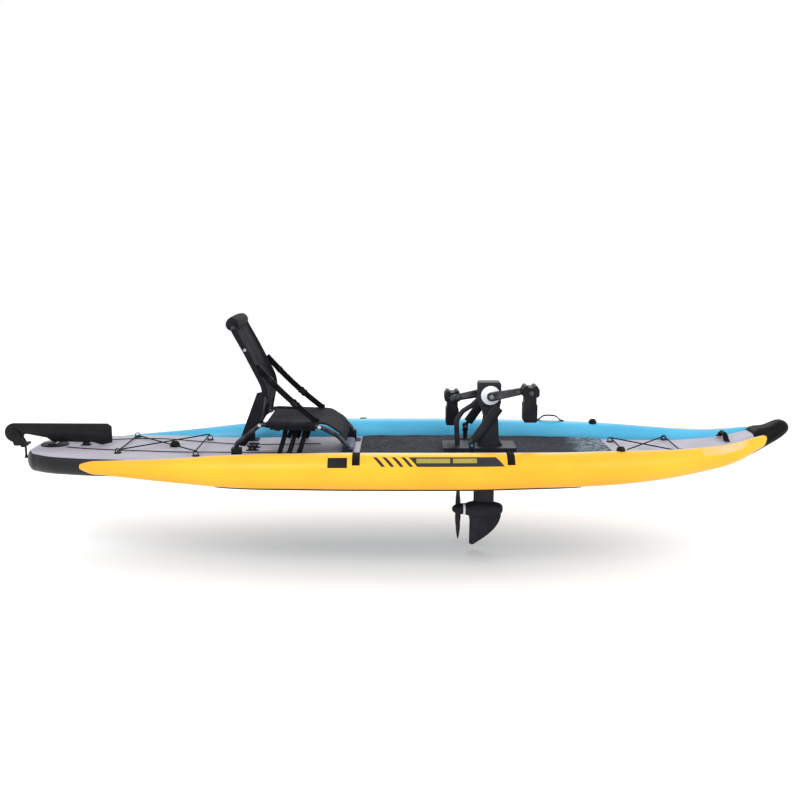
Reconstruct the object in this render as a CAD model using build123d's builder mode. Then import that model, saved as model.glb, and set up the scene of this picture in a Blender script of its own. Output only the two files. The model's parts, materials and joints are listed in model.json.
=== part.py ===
from build123d import *
from math import cos, pi, radians, sin, sqrt
import os

# Inflatable pedal-drive kayak. Millimetres, +X to the bow, +Y to port, +Z up.
# The origin is amidships, on the centreline, at the bottom of the floor board.

os.makedirs("parts", exist_ok=True)

# ---- driving sizes: hull --------------------------------------------------------------
bow_length = 1830          # origin to the tip of the nose
stern_length = 1810        # origin to the stern
board_thickness = 100      # drop-stitch floor
board_half_width = 319     # widest half-width of the floor, amidships
tube_radius = 82           # widest radius of an inflated side tube
tube_rise = 40             # height of a tube's axis above the floor's mid-plane
seam_squash = 2            # how far the glued seam presses tube and floor together
strake_start, strake_end = -870, 770
strake_width, strake_depth = 70, 10
liner_start, liner_end = -230, 960
liner_inset, liner_thickness = 24, 8   # the mat's side edge from the flat deck's edge
patch_thickness = 3        # glued-on patches

# ---- driving sizes: drive -------------------------------------------------------------
well_rear, well_front = 195, 478
well_width = 104
well_wall = 8
flange_width = 26
flange_thickness = 12
crank_x, crank_z = 386, 367
crank_length = 175
crank_angle = 11           # degrees above the bow direction
crank_offset = 77          # mid-plane of a crank arm from the centreline
crank_thickness = 14
spindle_radius = 10
running_fit = 0.05         # radial clearance of every turning fit
pedal_axle_radius = 7
pedal_width = 86
pedal_gap = 4
gearbox_side = 109
gearbox_half_depth = 37
cover_radius, cover_thickness = 45, 7
ring_radius, shaft_gear_radius = 34, 10.2      # 40 and 12 teeth
lower_gear_radius, prop_gear_radius = 20, 10   # 24 and 12 teeth
gear_gap = 0.4
shaft_radius = 6
pod_z = -198
pod_rear, pod_front = 275, 458
pod_radius = 43
strut_length, strut_width = 99, 34
prop_x = 240
prop_radius = 150
hub_radius, hub_length = 27, 53
seal_radius, seal_length = 29, 10
skeg_tip_x, skeg_tip_z = 300, -375

# ---- driving sizes: seat --------------------------------------------------------------
seat_half_width = 200      # to the axis of a side frame
back_half_width = 172      # to the axis of the folding back frame
seat_tube_radius = 11
back_tube_radius = 10
seat_pivot_x, seat_pivot_z = -680, 260
seat_front_x = -408
seat_rear_foot_x, seat_front_foot_x = -790, -282
foot_height = 52
foot_length, foot_width = 46, 44
bolt_radius = 4
pan_thickness, pan_gap = 10, 4
fold_notch = 130           # length of the pan's rear corners that the folded back passes
back_thickness = 10

# ---- driving sizes: rudder ------------------------------------------------------------
steer_x, gudgeon_low, gudgeon_high = -1837, 68, 118
gudgeon_radius, steer_pin_radius = 9, 5
flip_x, flip_z = -1885, 180
flip_pin_radius = 5
blade_thickness = 14
cheek_thickness, cheek_gap = 6, 0.5
blade_length = 465
blade_drop = 46             # lowest edge of the stowed blade below its pivot, over its rest

# ---- driving sizes: fittings ----------------------------------------------------------
holder_x, holder_y, holder_z = 306, 215, 204
holder_angle = 55
holder_length, holder_radius, holder_bore = 185, 23, 19
cord_radius = 3
bungee_height = 9          # lowest bungee axis above the deck
line_radius = 2

deck_z = board_thickness
rail_radius = board_thickness / 2 - 0.5
sides = (("starboard", -1), ("port", 1))

# share of the half-length, share of the half-width, rise of the floor's underside
board_stations = [
    (-1.000, 0.08, 20), (-0.994, 0.24, 20), (-0.983, 0.38, 20), (-0.967, 0.49, 20), (-0.912, 0.645, 20),
    (-0.829, 0.755, 20), (-0.70, 0.83, 20), (-0.60, 0.87, 11), (-0.483, 0.91, 0), (-0.387, 0.945, 0),
    (-0.250, 0.975, 0), (-0.10, 0.995, 0), (0.05, 1.0, 0), (0.20, 0.985, 0), (0.363, 0.935, 0),
    (0.45, 0.87, 0), (0.535, 0.795, 0), (0.636, 0.685, 5), (0.727, 0.535, 16), (0.797, 0.415, 35),
    (0.845, 0.325, 57), (0.8907, 0.255, 84),
]
# place along the hull, share of the half-width, underside and top heights of the nose cap
nose_stations = [
    (0.8907, 0.255, 84, 182), (0.925, 0.215, 117, 211), (0.953, 0.18, 144, 233),
    (0.970, 0.15, 163, 241), (0.981, 0.11, 179, 234), (0.988, 0.06, 194, 219),
]
# place along the hull, share of the tube radius, extra height of the axis
tube_stations = [
    (-0.826, 0.14, -14), (-0.801, 0.33, -13), (-0.751, 0.415, -12), (-0.613, 0.61, -13), (-0.483, 0.83, -9),
    (-0.387, 0.93, -5), (-0.166, 1.0, 0), (0.0, 1.0, 0), (0.164, 1.0, 0), (0.363, 0.95, 0),
    (0.516, 0.925, 0), (0.636, 0.805, 2), (0.726, 0.685, 9), (0.797, 0.60, 19), (0.854, 0.50, 41),
    (0.897, 0.36, 67), (0.912, 0.26, 75), (0.919, 0.13, 79),
]


def along(share):
    """Place on the X axis of a share of the hull's half-length."""
    return share * (bow_length if share > 0 else stern_length)


def between(stations, x, column):
    """A station column's value at x, straight between its neighbours."""
    for low, high in zip(stations, stations[1:]):
        if along(low[0]) <= x <= along(high[0]):
            part = (x - along(low[0])) / (along(high[0]) - along(low[0]))
            return low[column] + part * (high[column] - low[column])
    return stations[-1][column] if x > 0 else stations[0][column]


def underside(x):
    """Rise of the floor's underside at x."""
    return between(board_stations, x, 2)


def deck_under(x, reach):
    """Height on which a flat piece stands that reaches this far fore and aft of x."""
    return board_thickness + max(underside(x - reach), underside(x), underside(x + reach))


def tube_axis(x):
    """Distance from the centreline, height and radius of a side tube at x."""
    radius = tube_radius * between(tube_stations, x, 1)
    height = board_thickness / 2 + tube_rise + between(tube_stations, x, 2)
    rail = board_half_width * between(board_stations, x, 1) - board_thickness / 2
    reach = radius + board_thickness / 2 - seam_squash
    rise = height - board_thickness / 2 - underside(x)
    return rail + sqrt(max(reach**2 - rise**2, radius**2)), height, radius


def cross_plane(x, y, z):
    """Plane across the hull at a point, with its own x along +Y."""
    return Plane(origin=(x, y, z), x_dir=(0, 1, 0), z_dir=(1, 0, 0))


def side_plane(y):
    """Plane along the hull, with its own x along +X and y along +Z, facing starboard."""
    return Plane(origin=(0, y, 0), x_dir=(1, 0, 0), z_dir=(0, -1, 0))


def rounded_section(x, half_width, low, high):
    """One closed section of the floor or of the nose cap."""
    corner = min(rail_radius, half_width - 1, (high - low) / 2 - 0.5)
    with BuildSketch(cross_plane(x, 0, (low + high) / 2)) as section:
        RectangleRounded(2 * half_width, high - low, corner)
    return section.sketch


def rod_between(start, end, radius):
    """A straight round bar."""
    axis = Vector(*end) - Vector(*start)
    with BuildSketch(Plane(origin=start, z_dir=axis)) as profile:
        Circle(radius)
    extrude(profile.sketch, amount=axis.length)


def bent_tube(points, radii, radius):
    """A round bar along straight runs joined by arcs."""
    with BuildLine() as path:
        FilletPolyline(*points, radius=radii)
    with BuildSketch(Plane(origin=path.line @ 0, z_dir=path.line % 0)) as profile:
        Circle(radius)
    sweep(profile.sketch, path=path.line)


def bent_sheet(points, radii, width, thickness):
    """A flat sheet across the hull that follows a path in the centre plane."""
    with BuildLine() as path:
        FilletPolyline(*points, radius=radii)
    with BuildSketch(Plane(origin=path.line @ 0, x_dir=(0, 1, 0), z_dir=path.line % 0)) as profile:
        Rectangle(width, thickness)
    sweep(profile.sketch, path=path.line)


def deck_block(x, y, length, width, low, high, corner=2):
    """An upright block with rounded corners."""
    with BuildSketch(Plane.XY.offset(low)) as profile:
        with Locations((x, y)):
            RectangleRounded(length, width, corner)
    extrude(profile.sketch, amount=high - low)


def deck_disc(x, y, radius, low, high):
    """An upright round disc."""
    with BuildSketch(Plane.XY.offset(low)) as profile:
        with Locations((x, y)):
            Circle(radius)
    extrude(profile.sketch, amount=high - low)


def cross_disc(x, z, radius, y_low, y_high, mode=Mode.ADD):
    """A round disc whose axis runs across the hull."""
    with BuildSketch(side_plane(y_high)) as profile:
        with Locations((x, z)):
            Circle(radius)
    extrude(profile.sketch, amount=y_high - y_low, mode=mode)


def save(part, name):
    """Label one finished piece and write its STEP file."""
    part.label = name
    export_step(part, f"parts/{name}.step")


def corner_radii(points, share=0.45):
    """Radius of each corner: a share of the shorter run over the tangent of half the turn."""
    radii = []
    for before, here, after in zip(points, points[1:], points[2:]):
        run_in = Vector(*here) - Vector(*before)
        run_out = Vector(*after) - Vector(*here)
        half_turn = radians(run_in.get_angle(run_out)) / 2
        radii.append(share * min(run_in.length, run_out.length) / (sin(half_turn) / cos(half_turn)))
    return radii


# ======================================================================================
# Hull: floor, nose, tubes, liner
# ======================================================================================
well_middle = (well_rear + well_front) / 2
well_length = well_front - well_rear

with BuildPart() as floor_board:
    loft([
        rounded_section(along(share), board_half_width * width_share, rise, rise + board_thickness)
        for share, width_share, rise in board_stations
    ], ruled=True)
    with BuildSketch(Plane.XY.offset(-board_thickness)):
        with Locations((well_middle, 0)):
            Rectangle(well_length + 2 * well_wall, well_width + 2 * well_wall)
    extrude(amount=3 * board_thickness, mode=Mode.SUBTRACT)
save(floor_board.part, "floor_board")

with BuildPart() as bow_nose:
    loft([
        rounded_section(along(share), board_half_width * width_share, low, high)
        for share, width_share, low, high in nose_stations
    ])
save(bow_nose.part, "bow_nose")

for side, sign in sides:
    with BuildPart() as tube:
        for share, _, _ in tube_stations:
            offset_y, height, radius = tube_axis(along(share))
            with BuildSketch(cross_plane(along(share), sign * offset_y, height)):
                Circle(radius)
        loft(ruled=True)
    save(tube.part, f"{side}_tube")


def strake_section(place, sign):
    """One flat oval section of the rub strake at the bottom of a tube."""
    offset_y, height, radius = tube_axis(place)
    with BuildSketch(cross_plane(place, sign * offset_y, height - radius)) as section:
        Ellipse(strake_width / 2, strake_depth / 2)
    return section.sketch


strake_steps = 9
strake_pitch = (strake_end - strake_start) / strake_steps
strake_places = [strake_start + strake_pitch * step for step in range(strake_steps + 1)]
with BuildPart() as rub_strakes:
    for side, sign in sides:
        loft([strake_section(place, sign) for place in strake_places], ruled=True)
save(rub_strakes.part, "rub_strakes")

flange_length = well_length + 2 * (well_wall + flange_width)
flange_span = well_width + 2 * (well_wall + flange_width)
fit_gap = 0.3

liner_half_width = board_half_width - board_thickness / 2 - liner_inset
with BuildPart() as cockpit_liner:
    deck_block((liner_start + liner_end) / 2, 0, liner_end - liner_start, 2 * liner_half_width,
               deck_z, deck_z + liner_thickness, 60)
    with BuildSketch(Plane.XY.offset(deck_z)):
        with Locations((well_middle, 0)):
            Rectangle(flange_length + 2 * fit_gap, flange_span + 2 * fit_gap)
        with Locations((holder_x - 20, holder_y), (holder_x - 20, -holder_y)):
            Circle(32 + fit_gap)
    extrude(amount=liner_thickness, mode=Mode.SUBTRACT)
save(cockpit_liner.part, "cockpit_liner")

with BuildPart() as drive_well_frame:
    deck_block(well_middle, 0, flange_length, flange_span, deck_z, deck_z + flange_thickness, 18)
    deck_block(well_middle, 0, well_length + 2 * well_wall - fit_gap, well_width + 2 * well_wall - fit_gap,
               0, deck_z, 6)
    with BuildSketch(Plane.XY):
        with Locations((well_middle, 0)):
            Rectangle(well_length, well_width)
    extrude(amount=deck_z + flange_thickness, mode=Mode.SUBTRACT)
save(drive_well_frame.part, "drive_well_frame")

# ======================================================================================
# Hull: handles, rings, bungees, lines, tabs, valves
# ======================================================================================
bow_handle_x, bow_handle_y = 1505, 66


def grab_handle(start, end, rise, width, thickness, foot):
    """A webbing handle: two flat feet and a raised strap between them."""
    run = Vector(*end) - Vector(*start)
    across = run.normalized()
    up = Vector(0, 0, 1)
    points = [start, Vector(*start) + across * foot, Vector(*start) + across * (foot + rise) + up * rise,
              Vector(*end) - across * (foot + rise) + up * rise, Vector(*end) - across * foot, end]
    with BuildLine() as path:
        FilletPolyline(*points, radius=[rise / 2] * 4)
    with BuildSketch(Plane(origin=path.line @ 0, x_dir=across.cross(up), z_dir=path.line % 0)) as profile:
        Rectangle(width, thickness)
    sweep(profile.sketch, path=path.line)


bow_handle_z = deck_under(bow_handle_x, 14) + 2.5
with BuildPart() as bow_handle:
    grab_handle((bow_handle_x, -bow_handle_y, bow_handle_z), (bow_handle_x, bow_handle_y, bow_handle_z),
                26, 26, 4, 16)
save(bow_handle.part, "bow_handle")

handle_start, handle_end = 660, 800
with BuildPart() as port_side_handle:
    ends = []
    for place in (handle_start, handle_end):
        offset_y, height, radius = tube_axis(place)
        ends.append((place, offset_y, height + radius + 2.5))
    grab_handle(ends[0], ends[1], 24, 30, 4, 22)
save(port_side_handle.part, "port_side_handle")

rest_x = -1545
with BuildPart() as blade_rest:
    rest_base = deck_under(rest_x, 20)
    deck_block(rest_x, 0, 46, 40, rest_base, rest_base + 2, 4)
    deck_block(rest_x, 0, 30, 24, rest_base + 2, flip_z - blade_drop - 0.6, 3)
save(blade_rest.part, "blade_rest")

ring_foot_radius, ring_bar_radius, ring_loop, ring_height = 17, 2.2, 11, 20
aft_rings = [(-1345, -1), (-985, -1), (-1345, 1), (-985, 1)]
fore_rings = [(1000, -1), (1265, -1), (1000, 1), (1265, 1)]
aft_ring_inset, fore_ring_inset = 87, 39.5   # from the floor's widest edge at the narrow pair of rings
bungee_y = board_half_width * between(board_stations, -1345, 1) - aft_ring_inset
fore_y = board_half_width * between(board_stations, 1265, 1) - fore_ring_inset
print("ring places across", round(bungee_y, 1), round(fore_y, 1))


def lashing_points(places, spread):
    """Low patches with an upright half ring each, for the elastic cords."""
    for place, side_sign in places:
        base = deck_under(place, ring_foot_radius)
        deck_disc(place, side_sign * spread, ring_foot_radius, base, base + patch_thickness)
        top = base + patch_thickness - 1
        y = side_sign * spread
        points = [(place - ring_loop, y, top), (place - ring_loop, y, top + ring_height),
                  (place + ring_loop, y, top + ring_height), (place + ring_loop, y, top)]
        bent_tube(points, [ring_loop * 0.9] * 2, ring_bar_radius)


with BuildPart() as deck_rings:
    lashing_points(aft_rings, bungee_y)
    lashing_points(fore_rings, fore_y)
save(deck_rings.part, "deck_rings")


def crossed_bungee(rear, front, spread, base):
    """Route of one elastic cord: across, back over the deck, across, and home over itself."""
    low, high = base + bungee_height, base + bungee_height + 2 * cord_radius + 1.5
    return [(rear, -spread, low), (rear, spread, low), (front, -spread, low + 1),
            (front, spread, high - 1), (rear + 16, -spread + 8, high)]


aft_route = crossed_bungee(-1345, -985, bungee_y, deck_under(-1345, ring_foot_radius))
fore_route = crossed_bungee(1000, 1265, fore_y, deck_under(1265, ring_foot_radius))
ring_bend = 9
with BuildPart() as deck_bungees:
    for route in (aft_route, fore_route):
        bent_tube(route, [ring_bend] * 3, cord_radius)
save(deck_bungees.part, "deck_bungees")
for cord in deck_bungees.part.solids():
    print("bungee radii", [ring_bend] * 3, "length", round(cord.volume / (pi * cord_radius**2)))

steering_route = [(-1620, 58), (-1540, 86), (-1425, 110), (-1310, 128), (-1190, 134), (-1065, 120),
                  (-940, 99), (-820, 84), (-690, 82), (-560, 92), (-430, 104)]
line_lifts = [3.4, 3, 3.2, 3, 5.6, 4, 3.4, 3, 3.3, 3, 3.2]
with BuildPart() as steering_lines:
    for side, sign in sides:
        route = [(x, sign * y, deck_under(x, 20) + lift) for (x, y), lift in zip(steering_route, line_lifts)]
        bent_tube(route, corner_radii(route), line_radius)
        print(f"{side} steering line radii", [round(radius) for radius in corner_radii(route)])
save(steering_lines.part, "steering_lines")

cleat_x, cleat_y = -745, 30
with BuildPart() as line_cleats:
    for side, sign in sides:
        deck_block(cleat_x, sign * cleat_y, 40, 16, deck_z + 2, deck_z + 8, 4)
        deck_block(cleat_x, sign * cleat_y, 60, 24, deck_z, deck_z + 2, 8)
        for shift in (-11, 11):
            deck_block(cleat_x + shift, sign * cleat_y, 8, 10, deck_z + 8, deck_z + 18, 2)
        deck_block(cleat_x, sign * cleat_y, 52, 9, deck_z + 18, deck_z + 24, 3)
save(line_cleats.part, "line_cleats")

tab_places = (-232, 442)
tab_width = 34
with BuildPart() as side_tabs:
    for place in tab_places:
        for side, sign in sides:
            offset_y, height, radius = tube_axis(place)
            with BuildSketch(cross_plane(place - tab_width / 2, sign * offset_y, height)):
                Circle(radius + 3.2)
                Circle(radius + 0.4, mode=Mode.SUBTRACT)
                with Locations((sign * 0.45 * radius, 0.9 * radius)):
                    Rectangle(1.1 * radius, 1.4 * radius, mode=Mode.INTERSECT)
            extrude(amount=tab_width)
save(side_tabs.part, "side_tabs")

valve_radius, valve_height, valve_bore = 24, 9, 14
cap_radius, cap_height = 21, 9
floor_valve_x, floor_valve_y = -1120, 0
valve_lift = 4
tube_valve_x = 944
with BuildPart() as valve_bodies:
    valve_base = deck_under(floor_valve_x, valve_radius)
    deck_disc(floor_valve_x, floor_valve_y, valve_radius, valve_base, valve_base + valve_height)
    with BuildSketch(Plane.XY.offset(valve_base + 2)):
        with Locations((floor_valve_x, floor_valve_y)):
            Circle(valve_bore)
    extrude(amount=valve_height, mode=Mode.SUBTRACT)
    for side, sign in sides:
        offset_y, height, radius = tube_axis(tube_valve_x)
        deck_disc(tube_valve_x, sign * (offset_y - 12), 20, height + radius - 6, height + radius + 6)
save(valve_bodies.part, "valve_bodies")

with BuildPart() as floor_valve_cap:
    cap_base = valve_base + valve_height
    deck_disc(floor_valve_x, floor_valve_y, cap_radius, cap_base + 0.3, cap_base + cap_height)
    deck_disc(floor_valve_x, floor_valve_y, valve_bore - running_fit, valve_base + valve_lift, cap_base + 0.3)
    deck_block(floor_valve_x, floor_valve_y, 30, 8, cap_base + cap_height, cap_base + cap_height + 7, 3)
save(floor_valve_cap.part, "floor_valve_cap")

with BuildPart() as tube_valve_cap:
    offset_y, height, radius = tube_axis(tube_valve_x)
    tube_cap_base = height + radius + 6
    deck_disc(tube_valve_x, offset_y - 12, 17, tube_cap_base + 0.3, tube_cap_base + 7)
    deck_block(tube_valve_x, offset_y - 12, 24, 7, tube_cap_base + 7, tube_cap_base + 12, 3)
save(tube_valve_cap.part, "port_valve_cap")
save(mirror(tube_valve_cap.part, Plane.XZ), "starboard_valve_cap")

# ======================================================================================
# Rudder
# ======================================================================================
plate_x, plate_length, plate_width, plate_height = -1695, 130, 110, 6
plate_base = deck_under(plate_x, plate_length / 2)
plate_top = plate_base + plate_height
post_x, post_y = -1690, 30

with BuildPart() as rudder_base_plate:
    with BuildSketch(Plane.XY.offset(plate_base)):
        with Locations((plate_x, 0)):
            Ellipse(plate_length / 2, plate_width / 2)
    extrude(amount=plate_height)
    for side, sign in sides:
        deck_block(post_x - 5, sign * (post_y + 13), 34, 12, plate_top, plate_top + 9, 3)
save(rudder_base_plate.part, "rudder_base_plate")

bracket_rod = 4
rod_z = plate_top + 2
stern_gap = bracket_rod + 5
with BuildPart() as rudder_bracket:
    deck_disc(steer_x, 0, gudgeon_radius, gudgeon_low, gudgeon_high)
    for side, sign in sides:
        bent_tube([(post_x - 12, sign * (post_y + 13), rod_z), (steer_x + 16, sign * 16, rod_z),
                   (steer_x, sign * 4, gudgeon_high - 6)], [14], bracket_rod)
        bent_tube([(post_x + 2, sign * (post_y + 13), rod_z), (-stern_length - stern_gap, sign * 28, rod_z),
                   (steer_x + 5, sign * 4, gudgeon_low + 8)], [12], bracket_rod)
    for place in (post_x - 12, post_x + 2):
        rod_between((place, -post_y - 13, rod_z), (place, post_y + 13, rod_z), bracket_rod)
    with BuildSketch(Plane.XY.offset(gudgeon_low)):
        with Locations((steer_x, 0)):
            Circle(steer_pin_radius + running_fit)
    extrude(amount=gudgeon_high - gudgeon_low, mode=Mode.SUBTRACT)
save(rudder_bracket.part, "rudder_bracket")

cheek_inner = blade_thickness / 2 + cheek_gap
cheek_outer = cheek_inner + cheek_thickness
boss_low, boss_high = gudgeon_high + 0.5, gudgeon_high + 10

with BuildPart() as rudder_head:
    deck_disc(steer_x, 0, steer_pin_radius, gudgeon_low - 8, boss_low)
    deck_disc(steer_x, 0, 14, boss_low, boss_high)
    deck_disc(steer_x, 0, 8, gudgeon_low - 12, gudgeon_low - 0.5)
    deck_block(steer_x + 1, 0, 24, 2 * cheek_outer, boss_low, boss_high, 4)
    for cheek_side in (cheek_outer, -cheek_inner):
        with BuildSketch(side_plane(cheek_side)):
            with BuildLine():
                Polyline((steer_x - 50, boss_low), (steer_x + 10, boss_low), (flip_x + 22, flip_z + 8),
                         (flip_x - 8, flip_z + 22), (flip_x - 22, flip_z), close=True)
            make_face()
        extrude(amount=cheek_thickness)
    deck_block(steer_x + 2, 0, 18, 92, boss_low, boss_high, 6)
    cross_disc(flip_x, flip_z, flip_pin_radius, -cheek_outer - 4, cheek_outer + 4)
save(rudder_head.part, "rudder_head")

with BuildPart() as rudder_blade:
    tip_x = flip_x + blade_length
    with BuildSketch(side_plane(blade_thickness / 2)):
        with BuildLine():
            Polyline((flip_x, flip_z + 46), (tip_x - 18, flip_z + 44), (tip_x, flip_z + 30),
                     (tip_x, flip_z - 48), (tip_x - 50, flip_z - 58), (tip_x - 92, flip_z - blade_drop),
                     (tip_x - 285, flip_z - 43), (tip_x - 312, flip_z - 24), (flip_x + 60, flip_z - 6),
                     (flip_x + 30, flip_z - 10), (flip_x, flip_z - 44), close=True)
        make_face()
        with Locations((flip_x, flip_z)):
            Circle(46)
            Circle(flip_pin_radius + running_fit, mode=Mode.SUBTRACT)
    extrude(amount=blade_thickness)
save(rudder_blade.part, "rudder_blade")

# ======================================================================================
# Seat
# ======================================================================================
leg_foot_z = deck_z + patch_thickness + 6
rail_points = [(seat_rear_foot_x, leg_foot_z), (seat_rear_foot_x, deck_z + foot_height + 18),
               (seat_pivot_x, seat_pivot_z), (seat_front_x, seat_pivot_z - 9),
               (seat_front_foot_x - 42, seat_pivot_z - 52), (seat_front_foot_x, deck_z + foot_height + 10),
               (seat_front_foot_x, leg_foot_z)]
rail_radii = [26, 34, 90, 60, 30]
crossbar_places = (-600, -440)
crossbar_drop, crossbar_radius = 20, 8
foot_places = [(x, sign * seat_half_width) for x in (seat_rear_foot_x, seat_front_foot_x) for sign in (-1, 1)]
bolt_places = ((seat_pivot_x, seat_pivot_z), (seat_front_x, seat_pivot_z - 9))

for side, sign in sides:
    y = sign * seat_half_width
    with BuildPart() as seat_frame:
        bent_tube([(x, y, z) for x, z in rail_points], rail_radii, seat_tube_radius)
        for bolt_x, bolt_z in bolt_places:
            cross_disc(bolt_x, bolt_z, bolt_radius + running_fit, y - 30, y + 30, Mode.SUBTRACT)
        for place in crossbar_places:
            rod_z = seat_pivot_z - crossbar_drop
            deck_block(place, y, 24, 14, rod_z - 9, seat_pivot_z - 4, 3)
            cross_disc(place, rod_z, 4, y - 30, y + 30, Mode.SUBTRACT)
    save(seat_frame.part, f"{side}_seat_frame")

with BuildPart() as seat_crossbars:
    for place in crossbar_places:
        rod_z = seat_pivot_z - crossbar_drop
        length = seat_half_width - 7.5
        cross_disc(place, rod_z, crossbar_radius, -length, length)
        cross_disc(place, rod_z, 3.9, -seat_half_width - 8, seat_half_width + 8)
save(seat_crossbars.part, "seat_crossbars")

with BuildPart() as seat_feet:
    for x, y in foot_places:
        deck_block(x, y, foot_length, foot_width, deck_z + patch_thickness, deck_z + foot_height, 8)
        with BuildSketch(Plane.XY.offset(leg_foot_z)):
            with Locations((x, y)):
                Circle(seat_tube_radius + running_fit)
        extrude(amount=foot_height, mode=Mode.SUBTRACT)
save(seat_feet.part, "seat_feet")

with BuildPart() as seat_foot_patches:
    for x, y in foot_places:
        deck_block(x, y, 90, 78, deck_z, deck_z + patch_thickness, 14)
save(seat_foot_patches.part, "seat_foot_patches")

pan_half_width = seat_half_width - seat_tube_radius - pan_gap
pan_points = [(seat_pivot_x + 27, 0, seat_pivot_z + 3), (seat_front_x + 28, 0, seat_pivot_z + 3),
              (seat_front_x + 96, 0, seat_pivot_z - 42), (seat_front_x + 118, 0, seat_pivot_z - 98)]
notch_width = pan_half_width - (back_half_width - back_tube_radius - pan_gap)
notch_y = pan_half_width - notch_width / 2
with BuildPart() as seat_pan:
    bent_sheet(pan_points, [70, 50], 2 * pan_half_width, pan_thickness)
    for side, sign in sides:
        with Locations((seat_pivot_x + fold_notch / 2, sign * notch_y, seat_pivot_z)):
            Box(fold_notch, notch_width, 4 * pan_thickness, mode=Mode.SUBTRACT)
save(seat_pan.part, "seat_pan")

with BuildPart() as seat_pocket:
    deck_block(seat_front_foot_x - 6, 0, 60, 280, deck_z + 2, deck_z + 34, 12)
save(seat_pocket.part, "seat_pocket")

tie_places = (-565, -520, -475)
with BuildPart() as seat_ties:
    for side, sign in sides:
        for place in tie_places:
            start = Vector(place, sign * (seat_half_width - 34), seat_pivot_z - 24)
            end = Vector(place - 38, sign * (seat_half_width + 24), deck_z + 4)
            slope = end - start
            with BuildSketch(Plane(origin=start, x_dir=(1, 0, 0), z_dir=slope)):
                Rectangle(22, 2.5)
            extrude(amount=slope.length)
save(seat_ties.part, "seat_ties")

head_radius, head_height = 8, 5
with BuildPart() as seat_bolts:
    for side, sign in sides:
        for bolt_x, bolt_z in bolt_places:
            inner = back_half_width - 14 if bolt_x == seat_pivot_x else seat_half_width - seat_tube_radius - 2
            outer = seat_half_width + seat_tube_radius + 1
            low, high = sorted((sign * inner, sign * outer))
            cross_disc(bolt_x, bolt_z, bolt_radius, low, high)
            head_low, head_high = sorted((sign * outer, sign * (outer + head_height)))
            cross_disc(bolt_x, bolt_z, head_radius, head_low, head_high)
save(seat_bolts.part, "seat_bolts")

# ---- folding back -------------------------------------------------------------------
back_side_points = [(seat_pivot_x, seat_pivot_z), (seat_pivot_x + 30, seat_pivot_z + 149),
                    (seat_pivot_x - 60, seat_pivot_z + 332), (seat_pivot_x - 124, seat_pivot_z + 451)]
lug_radius, lug_width = 15, 14
with BuildPart() as back_frame:
    left = [(x, -back_half_width, z) for x, z in back_side_points]
    right = [(x, back_half_width, z) for x, z in reversed(back_side_points)]
    bent_tube(left + right, [160, 420, 42, 42, 420, 160], back_tube_radius)
    for sign in (-1, 1):
        y = sign * back_half_width
        cross_disc(seat_pivot_x, seat_pivot_z, lug_radius, y - lug_width / 2, y + lug_width / 2)
        cross_disc(seat_pivot_x, seat_pivot_z, bolt_radius + running_fit, y - 30, y + 30, Mode.SUBTRACT)
save(back_frame.part, "back_frame")

cover_half_width = back_half_width - back_tube_radius - 2
cover_points = [(seat_pivot_x + 17, 0, seat_pivot_z + 84), (seat_pivot_x + 30, 0, seat_pivot_z + 149),
                (seat_pivot_x - 60, 0, seat_pivot_z + 332), (seat_pivot_x - 105, 0, seat_pivot_z + 415)]
with BuildPart() as back_cover:
    bent_sheet(cover_points, [160, 420], 2 * cover_half_width, back_thickness)
save(back_cover.part, "back_cover")

roll_radius, roll_length = 31, 330
with BuildPart() as head_roll:
    roll_x, roll_z = back_side_points[-1]
    cross_disc(roll_x, roll_z, roll_radius, -roll_length / 2, roll_length / 2)
save(head_roll.part, "head_roll")

with BuildPart() as back_bolts:
    for sign in (-1, 1):
        low, high = sorted((sign * (back_half_width + back_tube_radius - 1), sign * (back_half_width + 16)))
        cross_disc(seat_pivot_x - 62, seat_pivot_z + 340, 7, low, high)
save(back_bolts.part, "back_bolts")

strap_width, strap_thickness = 25, 2.5
with BuildPart() as back_straps:
    for side, sign in sides:
        start = Vector(seat_pivot_x - 17, sign * (back_half_width + 2), seat_pivot_z + 275)
        end = Vector(seat_front_x - 18, sign * (back_half_width + 2), seat_pivot_z + 12)
        run = end - start
        slide_buckle, web_buckle = start + run * 0.24, start + run * 0.62
        for origin, length, extra in ((start, run.length, 0), (web_buckle, 34, 8), (slide_buckle, 12, 4)):
            with BuildSketch(Plane(origin=origin, x_dir=(0, 1, 0), z_dir=run)):
                Rectangle(strap_width + extra, strap_thickness + extra)
            extrude(amount=length)
save(back_straps.part, "back_straps")

stay_thickness = 2.5
with BuildPart() as rear_stays:
    for side, sign in sides:
        stay_y = sign * (back_half_width + back_tube_radius + 3)
        with BuildSketch(side_plane(stay_y + stay_thickness / 2)):
            with BuildLine():
                Polyline((seat_pivot_x + 14, seat_pivot_z + 150), (seat_pivot_x - 14, seat_pivot_z + 140),
                         (seat_rear_foot_x + 2, deck_z + foot_height + 6),
                         (seat_rear_foot_x + 36, deck_z + foot_height + 3), close=True)
            make_face()
        extrude(amount=stay_thickness)
        cross_disc(seat_pivot_x, seat_pivot_z, head_radius + 4, stay_y - 5, stay_y + 5, Mode.SUBTRACT)
save(rear_stays.part, "rear_stays")

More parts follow.
